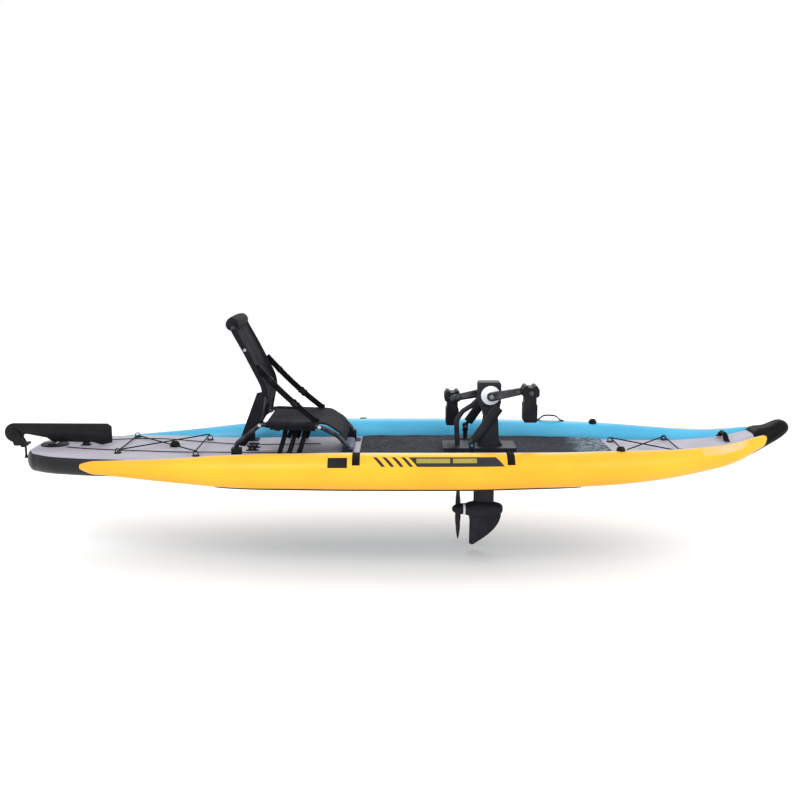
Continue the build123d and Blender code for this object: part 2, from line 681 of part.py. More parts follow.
# ======================================================================================
# Rod holders
# ======================================================================================
base_disc_radius, stem_radius = 32, 11
with BuildPart() as rod_holder_bases:
    for sign in (-1, 1):
        y = sign * holder_y
        base_x = holder_x - 20
        deck_disc(base_x, y, base_disc_radius, deck_z, deck_z + 10)
        rod_between((base_x, y, deck_z + 9), (base_x, y, holder_z - 46), stem_radius)
        for shift in (-1, 1):
            low, high = sorted((y + shift * 9.5, y + shift * 15.5))
            cross_disc(base_x, holder_z - 34, 14, low, high)
        deck_block(base_x, y, 28, 31, holder_z - 58, holder_z - 49, 4)
        cross_disc(base_x, holder_z - 34, 4, y - 20, y + 20, Mode.SUBTRACT)
save(rod_holder_bases.part, "rod_holder_bases")

holder_direction = (cos(radians(holder_angle)), 0, sin(radians(holder_angle)))
for side, sign in sides:
    with BuildPart() as rod_holder:
        base_x = holder_x - 20
        y = sign * holder_y
        start = Vector(base_x + 14, y, holder_z - 14)
        with BuildSketch(Plane(origin=start, z_dir=holder_direction)):
            Circle(holder_radius)
        extrude(amount=holder_length)
        cross_disc(base_x, holder_z - 34, 12, y - 9, y + 9)
        rod_between((base_x, y, holder_z - 34), (start.X + 6, y, start.Z + 8), 8)
        bore_start = start + Vector(*holder_direction) * 12
        with BuildSketch(Plane(origin=bore_start, z_dir=holder_direction)):
            Circle(holder_bore)
        extrude(amount=holder_length, mode=Mode.SUBTRACT)
        cross_disc(base_x, holder_z - 34, 4 + running_fit, y - 9, y + 9, Mode.SUBTRACT)
    save(rod_holder.part, f"{side}_rod_holder")

with BuildPart() as rod_holder_bolts:
    for sign in (-1, 1):
        y = sign * holder_y
        cross_disc(holder_x - 20, holder_z - 34, 4, y - 15.5, y + 15.5)
        cross_disc(holder_x - 20, holder_z - 34, 7, y - 19, y - 15.5)
        cross_disc(holder_x - 20, holder_z - 34, 7, y + 15.5, y + 19)
save(rod_holder_bolts.part, "rod_holder_bolts")

# ======================================================================================
# Drive unit
# ======================================================================================
half_side = gearbox_side / 2
box_middle_x = crank_x - 4.5
box_middle_z = crank_z + 6.5
cavity_radius = ring_radius + 6
deck_plate_low = deck_z + flange_thickness + 0.5
deck_plate_high = deck_plate_low + 10

with BuildPart() as gearbox_housing:
    with BuildSketch(side_plane(gearbox_half_depth)):
        with Locations((box_middle_x, box_middle_z)):
            RectangleRounded(gearbox_side, gearbox_side, 12)
    extrude(amount=2 * gearbox_half_depth)
    cross_disc(crank_x, crank_z, cavity_radius, -gearbox_half_depth, gearbox_half_depth, Mode.SUBTRACT)
    with BuildSketch(Plane.XY.offset(crank_z - 100)):
        with Locations((crank_x, 0)):
            Circle(shaft_radius + 4)
    extrude(amount=80, mode=Mode.SUBTRACT)
save(gearbox_housing.part, "gearbox_housing")

cover_plug, collar_radius, collar_thickness = 5, 19, 5
with BuildPart() as gearbox_covers:
    for side, sign in sides:
        face = gearbox_half_depth + cover_thickness
        for radius, inner, outer in ((cavity_radius, gearbox_half_depth - cover_plug, gearbox_half_depth),
                                     (cover_radius, gearbox_half_depth, face),
                                     (collar_radius, face, face + collar_thickness)):
            low, high = sorted((sign * inner, sign * outer))
            cross_disc(crank_x, crank_z, radius, low, high)
    cross_disc(crank_x, crank_z, spindle_radius + running_fit, -90, 90, Mode.SUBTRACT)
save(gearbox_covers.part, "gearbox_covers")

box_bottom = box_middle_z - half_side
shaft_tunnel = shaft_radius + 4
with BuildPart() as drive_column:
    with BuildSketch(side_plane(27)):
        with BuildLine():
            Polyline((crank_x - 44, box_bottom), (crank_x + 48, box_bottom), (crank_x + 38, box_bottom - 60),
                     (crank_x + 44, deck_plate_high + 30), (crank_x + 62, deck_plate_high),
                     (crank_x - 60, deck_plate_high), (crank_x - 40, deck_plate_high + 40),
                     (crank_x - 30, box_bottom - 60), close=True)
        make_face()
    extrude(amount=54)
    deck_block(well_middle, 0, flange_length - 6, flange_span - 6, deck_plate_low, deck_plate_high, 16)
    deck_block(crank_x - 20, 0, 150, well_width - 10, deck_plate_low - 30, deck_plate_low, 20)
    with BuildSketch(Plane.XY.offset(deck_plate_low - 30)):
        with Locations((crank_x - 22, 0)):
            Ellipse(strut_length / 2, strut_width / 2)
    extrude(amount=-(deck_plate_low - 30 - (pod_z + 30)))
    with BuildSketch(Plane.XY.offset(pod_z + 12)):
        with Locations((crank_x, 0)):
            Circle(shaft_tunnel)
    extrude(amount=box_bottom - pod_z, mode=Mode.SUBTRACT)
    with BuildSketch(Plane.XY.offset(pod_z)):
        with Locations((crank_x, 0)):
            Circle(lower_gear_radius + 3)
    extrude(amount=31.5, mode=Mode.SUBTRACT)
save(drive_column.part, "drive_column")

pod_cavity_front, pod_cavity_rear = crank_x + 24, crank_x - 32
with BuildPart() as drive_pod:
    with BuildSketch(Plane.XZ):
        with BuildLine():
            Line((pod_rear, pod_z), (pod_rear, pod_z + 27))
            Spline((pod_rear, pod_z + 27), (pod_rear + 34, pod_z + 38), (pod_rear + 92, pod_z + pod_radius),
                   (pod_front - 34, pod_z + 33), (pod_front, pod_z),
                   tangents=[(1, 0.5), (0, -1)])
            Line((pod_front, pod_z), (pod_rear, pod_z))
        make_face()
    revolve(axis=Axis((0, 0, pod_z), (1, 0, 0)))
    with BuildSketch(cross_plane(pod_cavity_rear, 0, pod_z)):
        Circle(lower_gear_radius + 6)
    extrude(amount=pod_cavity_front - pod_cavity_rear, mode=Mode.SUBTRACT)
    with BuildSketch(cross_plane(pod_rear - 1, 0, pod_z)):
        Circle(shaft_radius + running_fit)
    extrude(amount=pod_cavity_rear - pod_rear + 2, mode=Mode.SUBTRACT)
    add(drive_column.part, mode=Mode.SUBTRACT)
    with BuildSketch(Plane.XY.offset(pod_z)):
        with Locations((crank_x, 0)):
            Circle(lower_gear_radius + 3)
    extrude(amount=60, mode=Mode.SUBTRACT)
save(drive_pod.part, "drive_pod")

with BuildPart() as drive_skeg:
    with BuildSketch(side_plane(8)):
        with BuildLine():
            Line((pod_rear + 16, pod_z - 20), (pod_rear + 22, pod_z - 60))
            Line((pod_rear + 22, pod_z - 60), (skeg_tip_x - 4, skeg_tip_z + 6))
            ThreePointArc((skeg_tip_x - 4, skeg_tip_z + 6), (skeg_tip_x + 6, skeg_tip_z - 1),
                          (skeg_tip_x + 20, skeg_tip_z + 2))
            Spline((skeg_tip_x + 20, skeg_tip_z + 2), (skeg_tip_x + 90, skeg_tip_z + 52),
                   (pod_front - 22, pod_z - 70), (pod_front - 8, pod_z - 18))
            Line((pod_front - 8, pod_z - 18), (pod_rear + 16, pod_z - 20))
        make_face()
    extrude(amount=16)
    add(drive_pod.part, mode=Mode.SUBTRACT)
    with BuildSketch(cross_plane(pod_rear, 0, pod_z)):
        Circle(lower_gear_radius + 8)
    extrude(amount=pod_front - pod_rear, mode=Mode.SUBTRACT)
    skeg_solids = drive_skeg.solids().sort_by(SortBy.VOLUME)
save(skeg_solids[-1], "drive_skeg")

with BuildPart() as drive_arch:
    arch_points = [(crank_x - 58 + 4, 0, box_bottom + 24), (crank_x - 84, 0, box_bottom - 6),
                   (crank_x - 128, 0, box_bottom - 34), (crank_x - 158, 0, box_bottom - 78),
                   (crank_x - 152, 0, deck_plate_high)]
    bent_tube(arch_points, [30, 44, 60], 12)
    add(gearbox_housing.part, mode=Mode.SUBTRACT)
save(drive_arch.part, "drive_arch")

with BuildPart() as shaft_bushings:
    for low in (box_bottom - 20, deck_plate_low - 60):
        deck_disc(crank_x, 0, shaft_tunnel, low, low + 14)
    with BuildSketch(Plane.XY.offset(pod_z)):
        with Locations((crank_x, 0)):
            Circle(shaft_radius + running_fit)
    extrude(amount=crank_z - pod_z, mode=Mode.SUBTRACT)
save(shaft_bushings.part, "shaft_bushings")

with BuildPart() as pod_seal_ring:
    with BuildSketch(cross_plane(pod_rear - seal_length, 0, pod_z)):
        Circle(seal_radius)
        Circle(shaft_radius + running_fit, mode=Mode.SUBTRACT)
    extrude(amount=seal_length)
save(pod_seal_ring.part, "pod_seal_ring")

# ---- crank ----------------------------------------------------------------------------
arm_outer = crank_offset + crank_thickness / 2
with BuildPart() as crank_spindle:
    cross_disc(crank_x, crank_z, spindle_radius, -arm_outer, arm_outer)
save(crank_spindle.part, "crank_spindle")


gear_face_share = 0.25      # share of the mating gear's radius that the teeth's face takes


def bevel_disc(plane, radius, mate_radius, back):
    """A gear blank: a cone that narrows over its face, with a flat plate behind its large end."""
    with BuildSketch(plane) as large_end:
        Circle(radius)
    with BuildSketch(plane.offset(mate_radius * gear_face_share)) as small_end:
        Circle(radius * (1 - gear_face_share))
    loft([large_end.sketch, small_end.sketch])
    extrude(large_end.sketch, amount=-back)


with BuildPart() as ring_gear:
    ring_plane = Plane(origin=(crank_x, shaft_gear_radius, crank_z), z_dir=(0, -1, 0))
    bevel_disc(ring_plane, ring_radius, shaft_gear_radius, 6)
    cross_disc(crank_x, crank_z, spindle_radius, -30, 30, Mode.SUBTRACT)
save(ring_gear.part, "ring_gear")

crank_vector = Vector(cos(radians(crank_angle)), 0, sin(radians(crank_angle))) * crank_length
pedal_eye_radius, crank_eye_radius = 15, 21
pedal_inner = arm_outer + pedal_gap
pedal_outer = pedal_inner + pedal_width
axle_cap = 4


def pedal_axle_place(sign):
    """Centre of the pedal axle on one side: the starboard crank points to the bow."""
    reach = -sign * crank_vector
    return crank_x + reach.X, crank_z + reach.Z


with BuildPart() as crank_arms:
    for side, sign in sides:
        eye_x, eye_z = pedal_axle_place(sign)
        low = sign * crank_offset - crank_thickness / 2
        with BuildSketch(side_plane(low + crank_thickness)):
            with Locations((crank_x, crank_z)):
                Circle(crank_eye_radius)
            with Locations((eye_x, eye_z)):
                Circle(pedal_eye_radius)
            make_hull()
        extrude(amount=crank_thickness)
        axle_end = pedal_outer + 2
        for radius, inner, outer in ((pedal_axle_radius, arm_outer, axle_end),
                                     (pedal_axle_radius + axle_cap, axle_end, axle_end + axle_cap)):
            axle_low, axle_high = sorted((sign * inner, sign * outer))
            cross_disc(eye_x, eye_z, radius, axle_low, axle_high)
    cross_disc(crank_x, crank_z, spindle_radius, -arm_outer - 1, arm_outer + 1, Mode.SUBTRACT)
save(crank_arms.part, "crank_arms")

for side, sign in sides:
    eye_x, eye_z = pedal_axle_place(sign)
    with BuildPart() as pedal:
        low, high = sorted((sign * pedal_inner, sign * pedal_outer))
        with BuildSketch(side_plane(high)):
            with Locations((eye_x, eye_z + 2)):
                RectangleRounded(78, 44, 12)
            with Locations((eye_x - 22, eye_z + 22), (eye_x + 22, eye_z + 22)):
                Circle(11)
            with Locations((eye_x, eye_z - 34)):
                Rectangle(52, 40)
            with Locations((eye_x, eye_z - 94)):
                RectangleRounded(62, 86, 8)
        extrude(amount=high - low)
        cross_disc(eye_x, eye_z, pedal_axle_radius + running_fit, low - 1, high + 1, Mode.SUBTRACT)
    save(pedal.part, f"{side}_pedal")

with BuildPart() as crank_bolts:
    for sign in (-1, 1):
        low, high = sorted((sign * arm_outer, sign * (arm_outer + 4)))
        cross_disc(crank_x, crank_z, spindle_radius - 1, low, high)
save(crank_bolts.part, "crank_bolts")

# ---- upright shaft --------------------------------------------------------------------
with BuildPart() as upright_shaft:
    upper_plane = Plane(origin=(crank_x, 0, crank_z - ring_radius), z_dir=(0, 0, 1))
    bevel_disc(upper_plane, shaft_gear_radius - gear_gap, ring_radius, 10)
    lower_plane = Plane(origin=(crank_x, 0, pod_z + prop_gear_radius), z_dir=(0, 0, -1))
    bevel_disc(lower_plane, lower_gear_radius - gear_gap, prop_gear_radius, 6)
    shaft_low, shaft_high = pod_z + prop_gear_radius + 5, crank_z - ring_radius - 9
    rod_between((crank_x, 0, shaft_low), (crank_x, 0, shaft_high), shaft_radius)
save(upright_shaft.part, "upright_shaft")

# ---- propeller ------------------------------------------------------------------------
with BuildPart() as prop_shaft:
    gear_plane = Plane(origin=(crank_x - lower_gear_radius, 0, pod_z), x_dir=(0, 1, 0), z_dir=(1, 0, 0))
    bevel_disc(gear_plane, prop_gear_radius - gear_gap, lower_gear_radius, 7)
    rod_between((prop_x - 8, 0, pod_z), (crank_x - lower_gear_radius - 6, 0, pod_z), shaft_radius)
save(prop_shaft.part, "prop_shaft")

hub_front = pod_rear - seal_length - 1
# reach from the shaft, chord, thickness, angle of the chord away from the shaft's axis
blade_sections = [(10, 26, 9, 28), (45, 36, 7, 46), (90, 38, 5, 60), (130, 28, 3.5, 67),
                  (prop_radius, 10, 2, 70)]
with BuildPart() as propeller:
    with BuildSketch(Plane.XZ):
        with BuildLine():
            Line((hub_front, pod_z), (hub_front, pod_z + hub_radius))
            Line((hub_front, pod_z + hub_radius), (hub_front - 20, pod_z + hub_radius))
            Spline((hub_front - 20, pod_z + hub_radius), (hub_front - 40, pod_z + hub_radius * 0.7),
                   (hub_front - hub_length, pod_z), tangents=[(-1, 0), (0, -1)])
            Line((hub_front - hub_length, pod_z), (hub_front, pod_z))
        make_face()
    revolve(axis=Axis((0, 0, pod_z), (1, 0, 0)))
    for sign in (-1, 1):
        with BuildPart(mode=Mode.PRIVATE) as prop_blade:
            for reach, chord, thickness, twist in blade_sections:
                plane = Plane(origin=(prop_x, 0, pod_z + sign * reach),
                              x_dir=(cos(radians(twist)), sign * sin(radians(twist)), 0), z_dir=(0, 0, sign))
                with BuildSketch(plane):
                    Ellipse(chord / 2, thickness / 2)
            loft()
        add(prop_blade.part)
    with BuildSketch(cross_plane(prop_x - 8, 0, pod_z)):
        Circle(shaft_radius)
    extrude(amount=hub_length, mode=Mode.SUBTRACT)
save(propeller.part, "propeller")
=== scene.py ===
# %% [markdown]
# An inflatable pedal kayak, dressed for its portrait. The hull is two air tubes and a stiff air
# floor; on it stand a folding seat, a pedal drive, a flip-up rudder and two rod holders. The
# measured frame comes first, and every new piece takes its place from it.

# %% Load the frame and keep its box
import json

import bmesh
import bpy
import numpy as np
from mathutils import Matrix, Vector
from mathutils.bvhtree import BVHTree

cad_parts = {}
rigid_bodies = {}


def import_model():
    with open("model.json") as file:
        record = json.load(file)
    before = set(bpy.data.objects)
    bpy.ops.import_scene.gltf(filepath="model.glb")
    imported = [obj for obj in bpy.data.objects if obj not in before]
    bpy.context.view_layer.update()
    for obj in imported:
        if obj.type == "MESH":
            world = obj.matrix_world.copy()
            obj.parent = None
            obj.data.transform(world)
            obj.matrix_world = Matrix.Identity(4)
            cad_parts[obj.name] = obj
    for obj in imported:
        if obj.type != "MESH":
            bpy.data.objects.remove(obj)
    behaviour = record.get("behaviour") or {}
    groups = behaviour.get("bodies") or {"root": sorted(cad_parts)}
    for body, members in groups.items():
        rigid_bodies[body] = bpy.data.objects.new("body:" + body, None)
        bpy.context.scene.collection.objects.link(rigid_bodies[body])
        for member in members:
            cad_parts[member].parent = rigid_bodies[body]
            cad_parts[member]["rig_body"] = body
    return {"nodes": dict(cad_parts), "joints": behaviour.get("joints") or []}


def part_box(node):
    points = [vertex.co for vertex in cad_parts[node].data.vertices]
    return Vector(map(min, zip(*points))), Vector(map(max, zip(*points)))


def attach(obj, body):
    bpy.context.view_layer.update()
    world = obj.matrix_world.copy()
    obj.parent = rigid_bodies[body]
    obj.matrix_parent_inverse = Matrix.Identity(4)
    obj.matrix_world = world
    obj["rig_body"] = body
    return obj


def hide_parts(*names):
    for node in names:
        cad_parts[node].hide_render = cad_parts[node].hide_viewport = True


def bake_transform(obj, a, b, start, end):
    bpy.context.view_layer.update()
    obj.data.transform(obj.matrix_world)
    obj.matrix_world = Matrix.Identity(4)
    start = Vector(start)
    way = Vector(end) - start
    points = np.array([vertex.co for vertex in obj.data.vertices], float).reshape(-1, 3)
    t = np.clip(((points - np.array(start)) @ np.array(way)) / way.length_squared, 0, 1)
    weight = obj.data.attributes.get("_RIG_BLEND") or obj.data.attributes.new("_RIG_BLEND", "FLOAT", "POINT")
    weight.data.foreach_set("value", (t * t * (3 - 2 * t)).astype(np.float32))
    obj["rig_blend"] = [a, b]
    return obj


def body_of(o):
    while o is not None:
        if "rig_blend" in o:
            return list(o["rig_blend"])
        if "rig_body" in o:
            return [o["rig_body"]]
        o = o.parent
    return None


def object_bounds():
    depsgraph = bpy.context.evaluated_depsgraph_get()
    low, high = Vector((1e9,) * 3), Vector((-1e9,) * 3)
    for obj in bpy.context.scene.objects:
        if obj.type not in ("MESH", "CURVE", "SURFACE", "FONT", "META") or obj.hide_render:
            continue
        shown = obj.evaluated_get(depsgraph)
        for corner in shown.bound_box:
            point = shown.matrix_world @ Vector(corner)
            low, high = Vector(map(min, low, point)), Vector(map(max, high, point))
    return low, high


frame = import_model()
cad_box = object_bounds()
nodes = frame["nodes"]
print("box of the frame", [[round(v, 3) for v in corner] for corner in cad_box])

# %% [markdown]
# The portrait is a side view from the starboard side, a little above the deck. A camera four
# and a half metres away keeps the far tube only slightly smaller than the near one.

# %% Camera
camera_data = bpy.data.cameras.new("portrait_camera")
camera_data.sensor_width = 36.0
camera_data.lens = 42.3
camera = bpy.data.objects.new("portrait_camera", camera_data)
camera.location = (-0.041, -4.40, 1.13)
camera.rotation_euler = (np.radians(90 - 10.2), 0, 0)
bpy.context.collection.objects.link(camera)
bpy.context.scene.camera = camera

# %% [markdown]
# Most pieces here are grids: rows of points along something, columns around it. One helper
# turns a numpy grid into a mesh with a UV map, where U counts along and V around, both in the
# units it is given, so that a finish can follow the surface.


# %% Grid surfaces
def add_piece(name, points, u=None, v=None, body=None, finish=None, angle=40):
    """A mesh from rings of points (rows, columns, 3), with a cap on its first ring and its last.

    Each quad joins a point to the next one in its ring and to the same two of the next ring.
    """
    rows, columns = points.shape[:2]
    row, column = np.meshgrid(np.arange(rows - 1), np.arange(columns), indexing="ij")
    row, column = row.ravel(), column.ravel()
    rows4 = np.stack([row, row, row + 1, row + 1], 1)
    columns4 = np.stack([column, column + 1, column + 1, column], 1)
    quads = rows4 * columns + columns4 % columns
    faces = [tuple(quad) for quad in quads.tolist()]
    faces.append(tuple(range(columns)))
    faces.append(tuple((rows - 1) * columns + np.arange(columns)[::-1]))
    mesh = bpy.data.meshes.new(name)
    mesh.from_pydata(points.reshape(-1, 3).tolist(), [], faces)
    u = np.arange(rows) / (rows - 1) if u is None else u
    v = np.arange(columns + 1) / columns if v is None else v
    layer = mesh.uv_layers.new(name="UVMap")
    uv = np.zeros((len(mesh.loops), 2))
    uv[: quads.size] = np.stack([u[rows4].ravel(), v[columns4].ravel()], 1)
    layer.data.foreach_set("uv", uv.ravel())
    return finish_mesh(name, mesh, body, finish, angle)


def finish_mesh(name, mesh, body, finish, angle):
    """Puts a mesh in the scene: faces outward, smooth but for edges sharper than angle."""
    work = bmesh.new()
    work.from_mesh(mesh)
    bmesh.ops.recalc_face_normals(work, faces=work.faces)
    work.to_mesh(mesh)
    work.free()
    mesh.shade_smooth()
    mesh.set_sharp_from_angle(angle=np.radians(angle))
    piece = bpy.data.objects.new(name, mesh)
    bpy.context.collection.objects.link(piece)
    mesh.materials.append(finish)
    if body:
        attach(piece, body)
    return piece


def unit(vectors):
    """Vectors of length one."""
    return vectors / np.maximum(np.linalg.norm(vectors, axis=-1, keepdims=True), 1e-9)


def curve_through(points, count):
    """A smooth curve through points: cubic pieces whose slope at a point joins its neighbours."""
    points = np.asarray(points, float)
    padded = np.vstack([2 * points[0] - points[1], points, 2 * points[-1] - points[-2]])
    place = np.linspace(0, len(points) - 1, count)
    span = np.minimum(place.astype(int), len(points) - 2)
    t = (place - span)[:, None]
    a, b, c, d = (padded[span + k] for k in range(4))
    return 0.5 * (2 * b + (c - a) * t + (2 * a - 5 * b + 4 * c - d) * t**2 + (3 * b - a - 3 * c + d) * t**3)


def carry(path, profile, up=(0, 0, 1), scale=None):
    """A flat profile carried along a path: point = path + x * side + y * lift, times a scale."""
    tangent = unit(np.gradient(path, axis=0))
    side = unit(np.cross(tangent, np.broadcast_to(up, tangent.shape)))
    lift = np.cross(side, tangent)
    scale = np.ones(len(path)) if scale is None else np.asarray(scale)
    grown = scale[:, None, None] * np.asarray(profile)[None]
    return path[:, None] + grown[..., :1] * side[:, None] + grown[..., 1:] * lift[:, None]


def full_turn(count):
    """Equal angles around a circle, from nothing to just short of a full turn."""
    return np.arange(count) * 2 * np.pi / count


def ring(radius, count):
    """A circle's points: radius times cosine and sine."""
    turn = full_turn(count)
    return np.stack([radius * np.cos(turn), radius * np.sin(turn)], 1)


def slab(width, thickness, corner=0.3):
    """A rounded bar section: quarter circles at the corners of a width by thickness box."""
    radius = corner * thickness
    turn = np.linspace(0, np.pi / 2, 6)
    arc = radius * np.stack([np.cos(turn), np.sin(turn)], 1)
    x, y = width / 2 - radius, thickness / 2 - radius
    upper = np.vstack([arc + (x, y), arc[::-1] * (-1, 1) + (-x, y)])
    return np.vstack([upper, -upper])


# %% [markdown]
# A finish is a small graph of shader nodes. Written node by node it is long and hard to read,
# so a value that comes out of a node is wrapped, and plain + - * on it add the Math nodes.


# %% Shader values and finishes
class Value:
    """A number that varies over a surface. Its operators add Math nodes to its graph."""

    def __init__(self, finish, socket):
        self.finish, self.socket = finish, socket

    def math(self, operation, *others):
        """A Math node on this value and the others."""
        return self.finish.node("ShaderNodeMath", {"operation": operation}, dict(enumerate((self, *others))))

    def __add__(self, other):
        return self.math("ADD", other)

    __radd__ = __add__

    def __mul__(self, other):
        return self.math("MULTIPLY", other)

    def __sub__(self, other):
        return self.math("SUBTRACT", other)

    def __rsub__(self, other):
        return self.finish.node("ShaderNodeMath", {"operation": "SUBTRACT"}, {0: other, 1: self})

    def __gt__(self, other):
        return self.math("GREATER_THAN", other)

    def __lt__(self, other):
        return self.math("LESS_THAN", other)

    def inside(self, low, high):
        """One between two limits, else nothing."""
        return (self > low) * (self < high)

    def soft(self, low, high):
        """Rises from nothing at low to one at high."""
        return self.finish.node("ShaderNodeMapRange", inputs={0: self, 1: low, 2: high, 3: 0.0, 4: 1.0})

    def wave(self, per_unit):
        """A wave between nothing and one, with so many crests a unit."""
        return (self * (2 * np.pi * per_unit)).math("SINE") * 0.5 + 0.5


class Finish:
    """One material and its graph of nodes. Fixed values go straight to the shader's sockets."""

    def __init__(self, name, **fixed):
        fixed.setdefault("specular_ior_level", 0.3)
        self.material = bpy.data.materials.new(name)
        self.material.use_nodes = True
        self.tree = self.material.node_tree
        self.shader = self.tree.nodes["Principled BSDF"]
        for socket, value in fixed.items():
            self.shader.inputs[socket.replace("_", " ").title().replace("Ior", "IOR")].default_value = value

    def node(self, kind, settings=None, inputs=None, output=0):
        """Adds a node: its settings first, then a value or a link for each named socket."""
        made = self.tree.nodes.new(kind)
        for key, value in (settings or {}).items():
            setattr(made, key, value)
        for key, value in (inputs or {}).items():
            if isinstance(value, Value):
                self.tree.links.new(value.socket, made.inputs[key])
            else:
                made.inputs[key].default_value = value
        return Value(self, made.outputs[output])

    def place(self, kind="Object"):
        """Object coordinates, or the piece's UV map."""
        return self.node("ShaderNodeTexCoord", output=kind)

    def axes(self, vector):
        """The three parts of a vector."""
        made = self.node("ShaderNodeSeparateXYZ", inputs={0: vector}).socket.node
        return tuple(Value(self, output) for output in made.outputs)

    def noise(self, scale, detail=3.0, roughness=0.5, vector=None, distortion=0.0):
        """Cloudy noise: scale is how many clouds fit in a metre."""
        inputs = {"Vector": vector or self.place(), "Scale": scale, "Detail": detail,
                  "Roughness": roughness, "Distortion": distortion}
        return self.node("ShaderNodeTexNoise", inputs=inputs)

    def cells(self, scale):
        """Distance to the nearest of scattered points."""
        return self.node("ShaderNodeTexVoronoi", inputs={"Vector": self.place(), "Scale": scale})

    def mix(self, factor, low, high):
        """A colour between two: low where the factor is nothing, high where it is one."""
        settings = {"data_type": "RGBA"}
        return self.node("ShaderNodeMix", settings, {0: factor, 6: colour(low), 7: colour(high)}, output=2)

    def done(self, base, rough, metal=0.0, height=None, depth=0.0005):
        """Joins the graph to the shader, with a bump of so many metres."""
        for key, value in (("Base Color", colour(base)), ("Roughness", rough), ("Metallic", metal)):
            if isinstance(value, Value):
                self.tree.links.new(value.socket, self.shader.inputs[key])
            else:
                self.shader.inputs[key].default_value = value
        if height is not None:
            bump = self.node("ShaderNodeBump", inputs={"Height": height, "Distance": depth, "Strength": 1.0})
            self.tree.links.new(bump.socket, self.shader.inputs["Normal"])
        return self.material


def colour(value):
    """Adds full opacity to a plain colour, and leaves a graph value alone."""
    return value if isinstance(value, Value) else (*value[:3], 1.0)


def dress(finish, *names):
    """Gives CAD nodes a finish."""
    for name in names:
        mesh = nodes[name].data
        mesh.materials.clear()
        mesh.materials.append(finish)


# %% [markdown]
# The side tubes are coated fabric, bright yellow outside and blue inside. The air stretches the
# skin smooth, so what gives it life is the fine cloth grain under the coating, a faint
# mottling, and the graphics: slanted black slashes and one long black panel with two olive
# bars. The pattern follows the tube, so it reads the UV map: metres along, degrees around.

# %% Tube finish
yellow, deep_yellow = (0.965, 0.46, 0.017), (0.91, 0.385, 0.011)
sky, deep_sky = (0.085, 0.46, 0.71), (0.055, 0.375, 0.61)
inner_edge, inner_end = 3.0, 165.0   # degrees inboard of the top where the blue begins and ends
edge_line, edge_width = 163.0, 1.5   # a deeper line along both ends of the blue
floor_crease_shade = (92.0, 128.0)            # painted shade: a black band where the tube meets the floor
band = (-62.0, -27.0)                # the printed band, around the tube
slash_lean = 0.0011                  # metres along for each degree around
slash_places = (-0.190, -0.150, -0.109, -0.068)
slash_width = 0.017
panel = (-0.035, 0.345)
bar_band = (-50.0, -33.0)
bars = ((0.03, 0.176), (0.188, 0.292))


def tube_finish():
    """Coated fabric: yellow and blue halves, printed band, painted shade where the tube meets the floor, and
    edge lines.
    """
    skin = Finish("coated_tube_fabric", coat_roughness=0.25, coat_weight=0.12)
    along, around, _ = skin.axes(skin.place("UV"))
    mottle = skin.noise(3.0, 4.0)
    outside = skin.mix(mottle.soft(0.35, 0.7), yellow, deep_yellow)
    inside = skin.mix(mottle.soft(0.35, 0.7), sky, deep_sky)
    base = skin.mix((around > inner_edge) * (around < inner_end), outside, inside)
    leaning = along + around * slash_lean
    marks = leaning.inside(*panel)
    for start in slash_places:
        marks = marks + leaning.inside(start, start + slash_width)
    base = skin.mix(around.inside(*band) * marks, base, (0.012, 0.012, 0.014))
    # painted shade: black on the tube's inboard side, in the crease where it meets the floor
    base = skin.mix(around.inside(*floor_crease_shade), base, (0.010, 0.010, 0.012))
    olive = skin.mix(skin.noise(60.0, 4.0), (0.24, 0.20, 0.035), (0.40, 0.33, 0.07))
    base = skin.mix(around.inside(*bar_band) * (along.inside(*bars[0]) + along.inside(*bars[1])), base, olive)
    top_line = around.inside(inner_edge - edge_width, inner_edge)
    lines = around.inside(edge_line, edge_line + 2 * edge_width) + top_line
    base = skin.mix(lines, base, (0.80, 0.38, 0.02))
    grain = skin.noise(900.0, 2.0) * 0.25 + skin.noise(14.0, 3.0) * 0.9
    return skin.done(base, 0.34 + skin.noise(25.0, 3.0) * 0.16, height=grain, depth=0.0006)


tube_skin = tube_finish()

# %% [markdown]
# The deck is a pale violet-grey foam-backed sheet with a fine pebbled grain, and the rail
# around the stern and the whole nose are black.

# %% Deck and black hull finishes
grey, dark_grey = (0.405, 0.388, 0.445), (0.34, 0.325, 0.38)


def deck_finish():
    """Pebbled grey where the surface faces up, black where it turns down to the rail."""
    sheet = Finish("deck_sheet")
    mottle = sheet.noise(6.0, 5.0)
    top = sheet.mix(mottle.soft(0.3, 0.75), grey, dark_grey)
    _, _, up = sheet.axes(sheet.node("ShaderNodeNewGeometry", output="Normal"))
    rail = up < 0.72
    base = sheet.mix(rail, top, (0.006, 0.006, 0.008))
    pebble = sheet.cells(420.0) * 0.6 + sheet.noise(18.0, 3.0) * 0.5
    return sheet.done(base, 0.52 + mottle * 0.15 - rail * 0.2, height=pebble, depth=0.0005)


def black_finish(name, base=(0.006, 0.006, 0.008), high=(0.016, 0.016, 0.019), rough=0.45, grain=700.0,
                 depth=0.0003, **fixed):
    """Black rubber or plastic with slow wear and a fine grain."""
    skin = Finish(name, **({"specular_ior_level": 0.15} | fixed))
    wear = skin.noise(11.0, 5.0, 0.6)
    fine = skin.noise(grain, 2.0) * 0.5 + skin.noise(30.0, 3.0) * 0.4
    return skin.done(skin.mix(wear.soft(0.4, 0.75), base, high), rough + wear * 0.2, height=fine, depth=depth)


deck_sheet = deck_finish()
nose_skin = black_finish("nose_rubber", (0.004, 0.004, 0.005), (0.009, 0.008, 0.009), 0.40,
                         specular_ior_level=0.08)

# %% [markdown]
# The frame's tubes are straight cones between ribs. The real skin is one smooth curve, so its
# ribs are read back from the frame, and a smooth curve is carried through them.


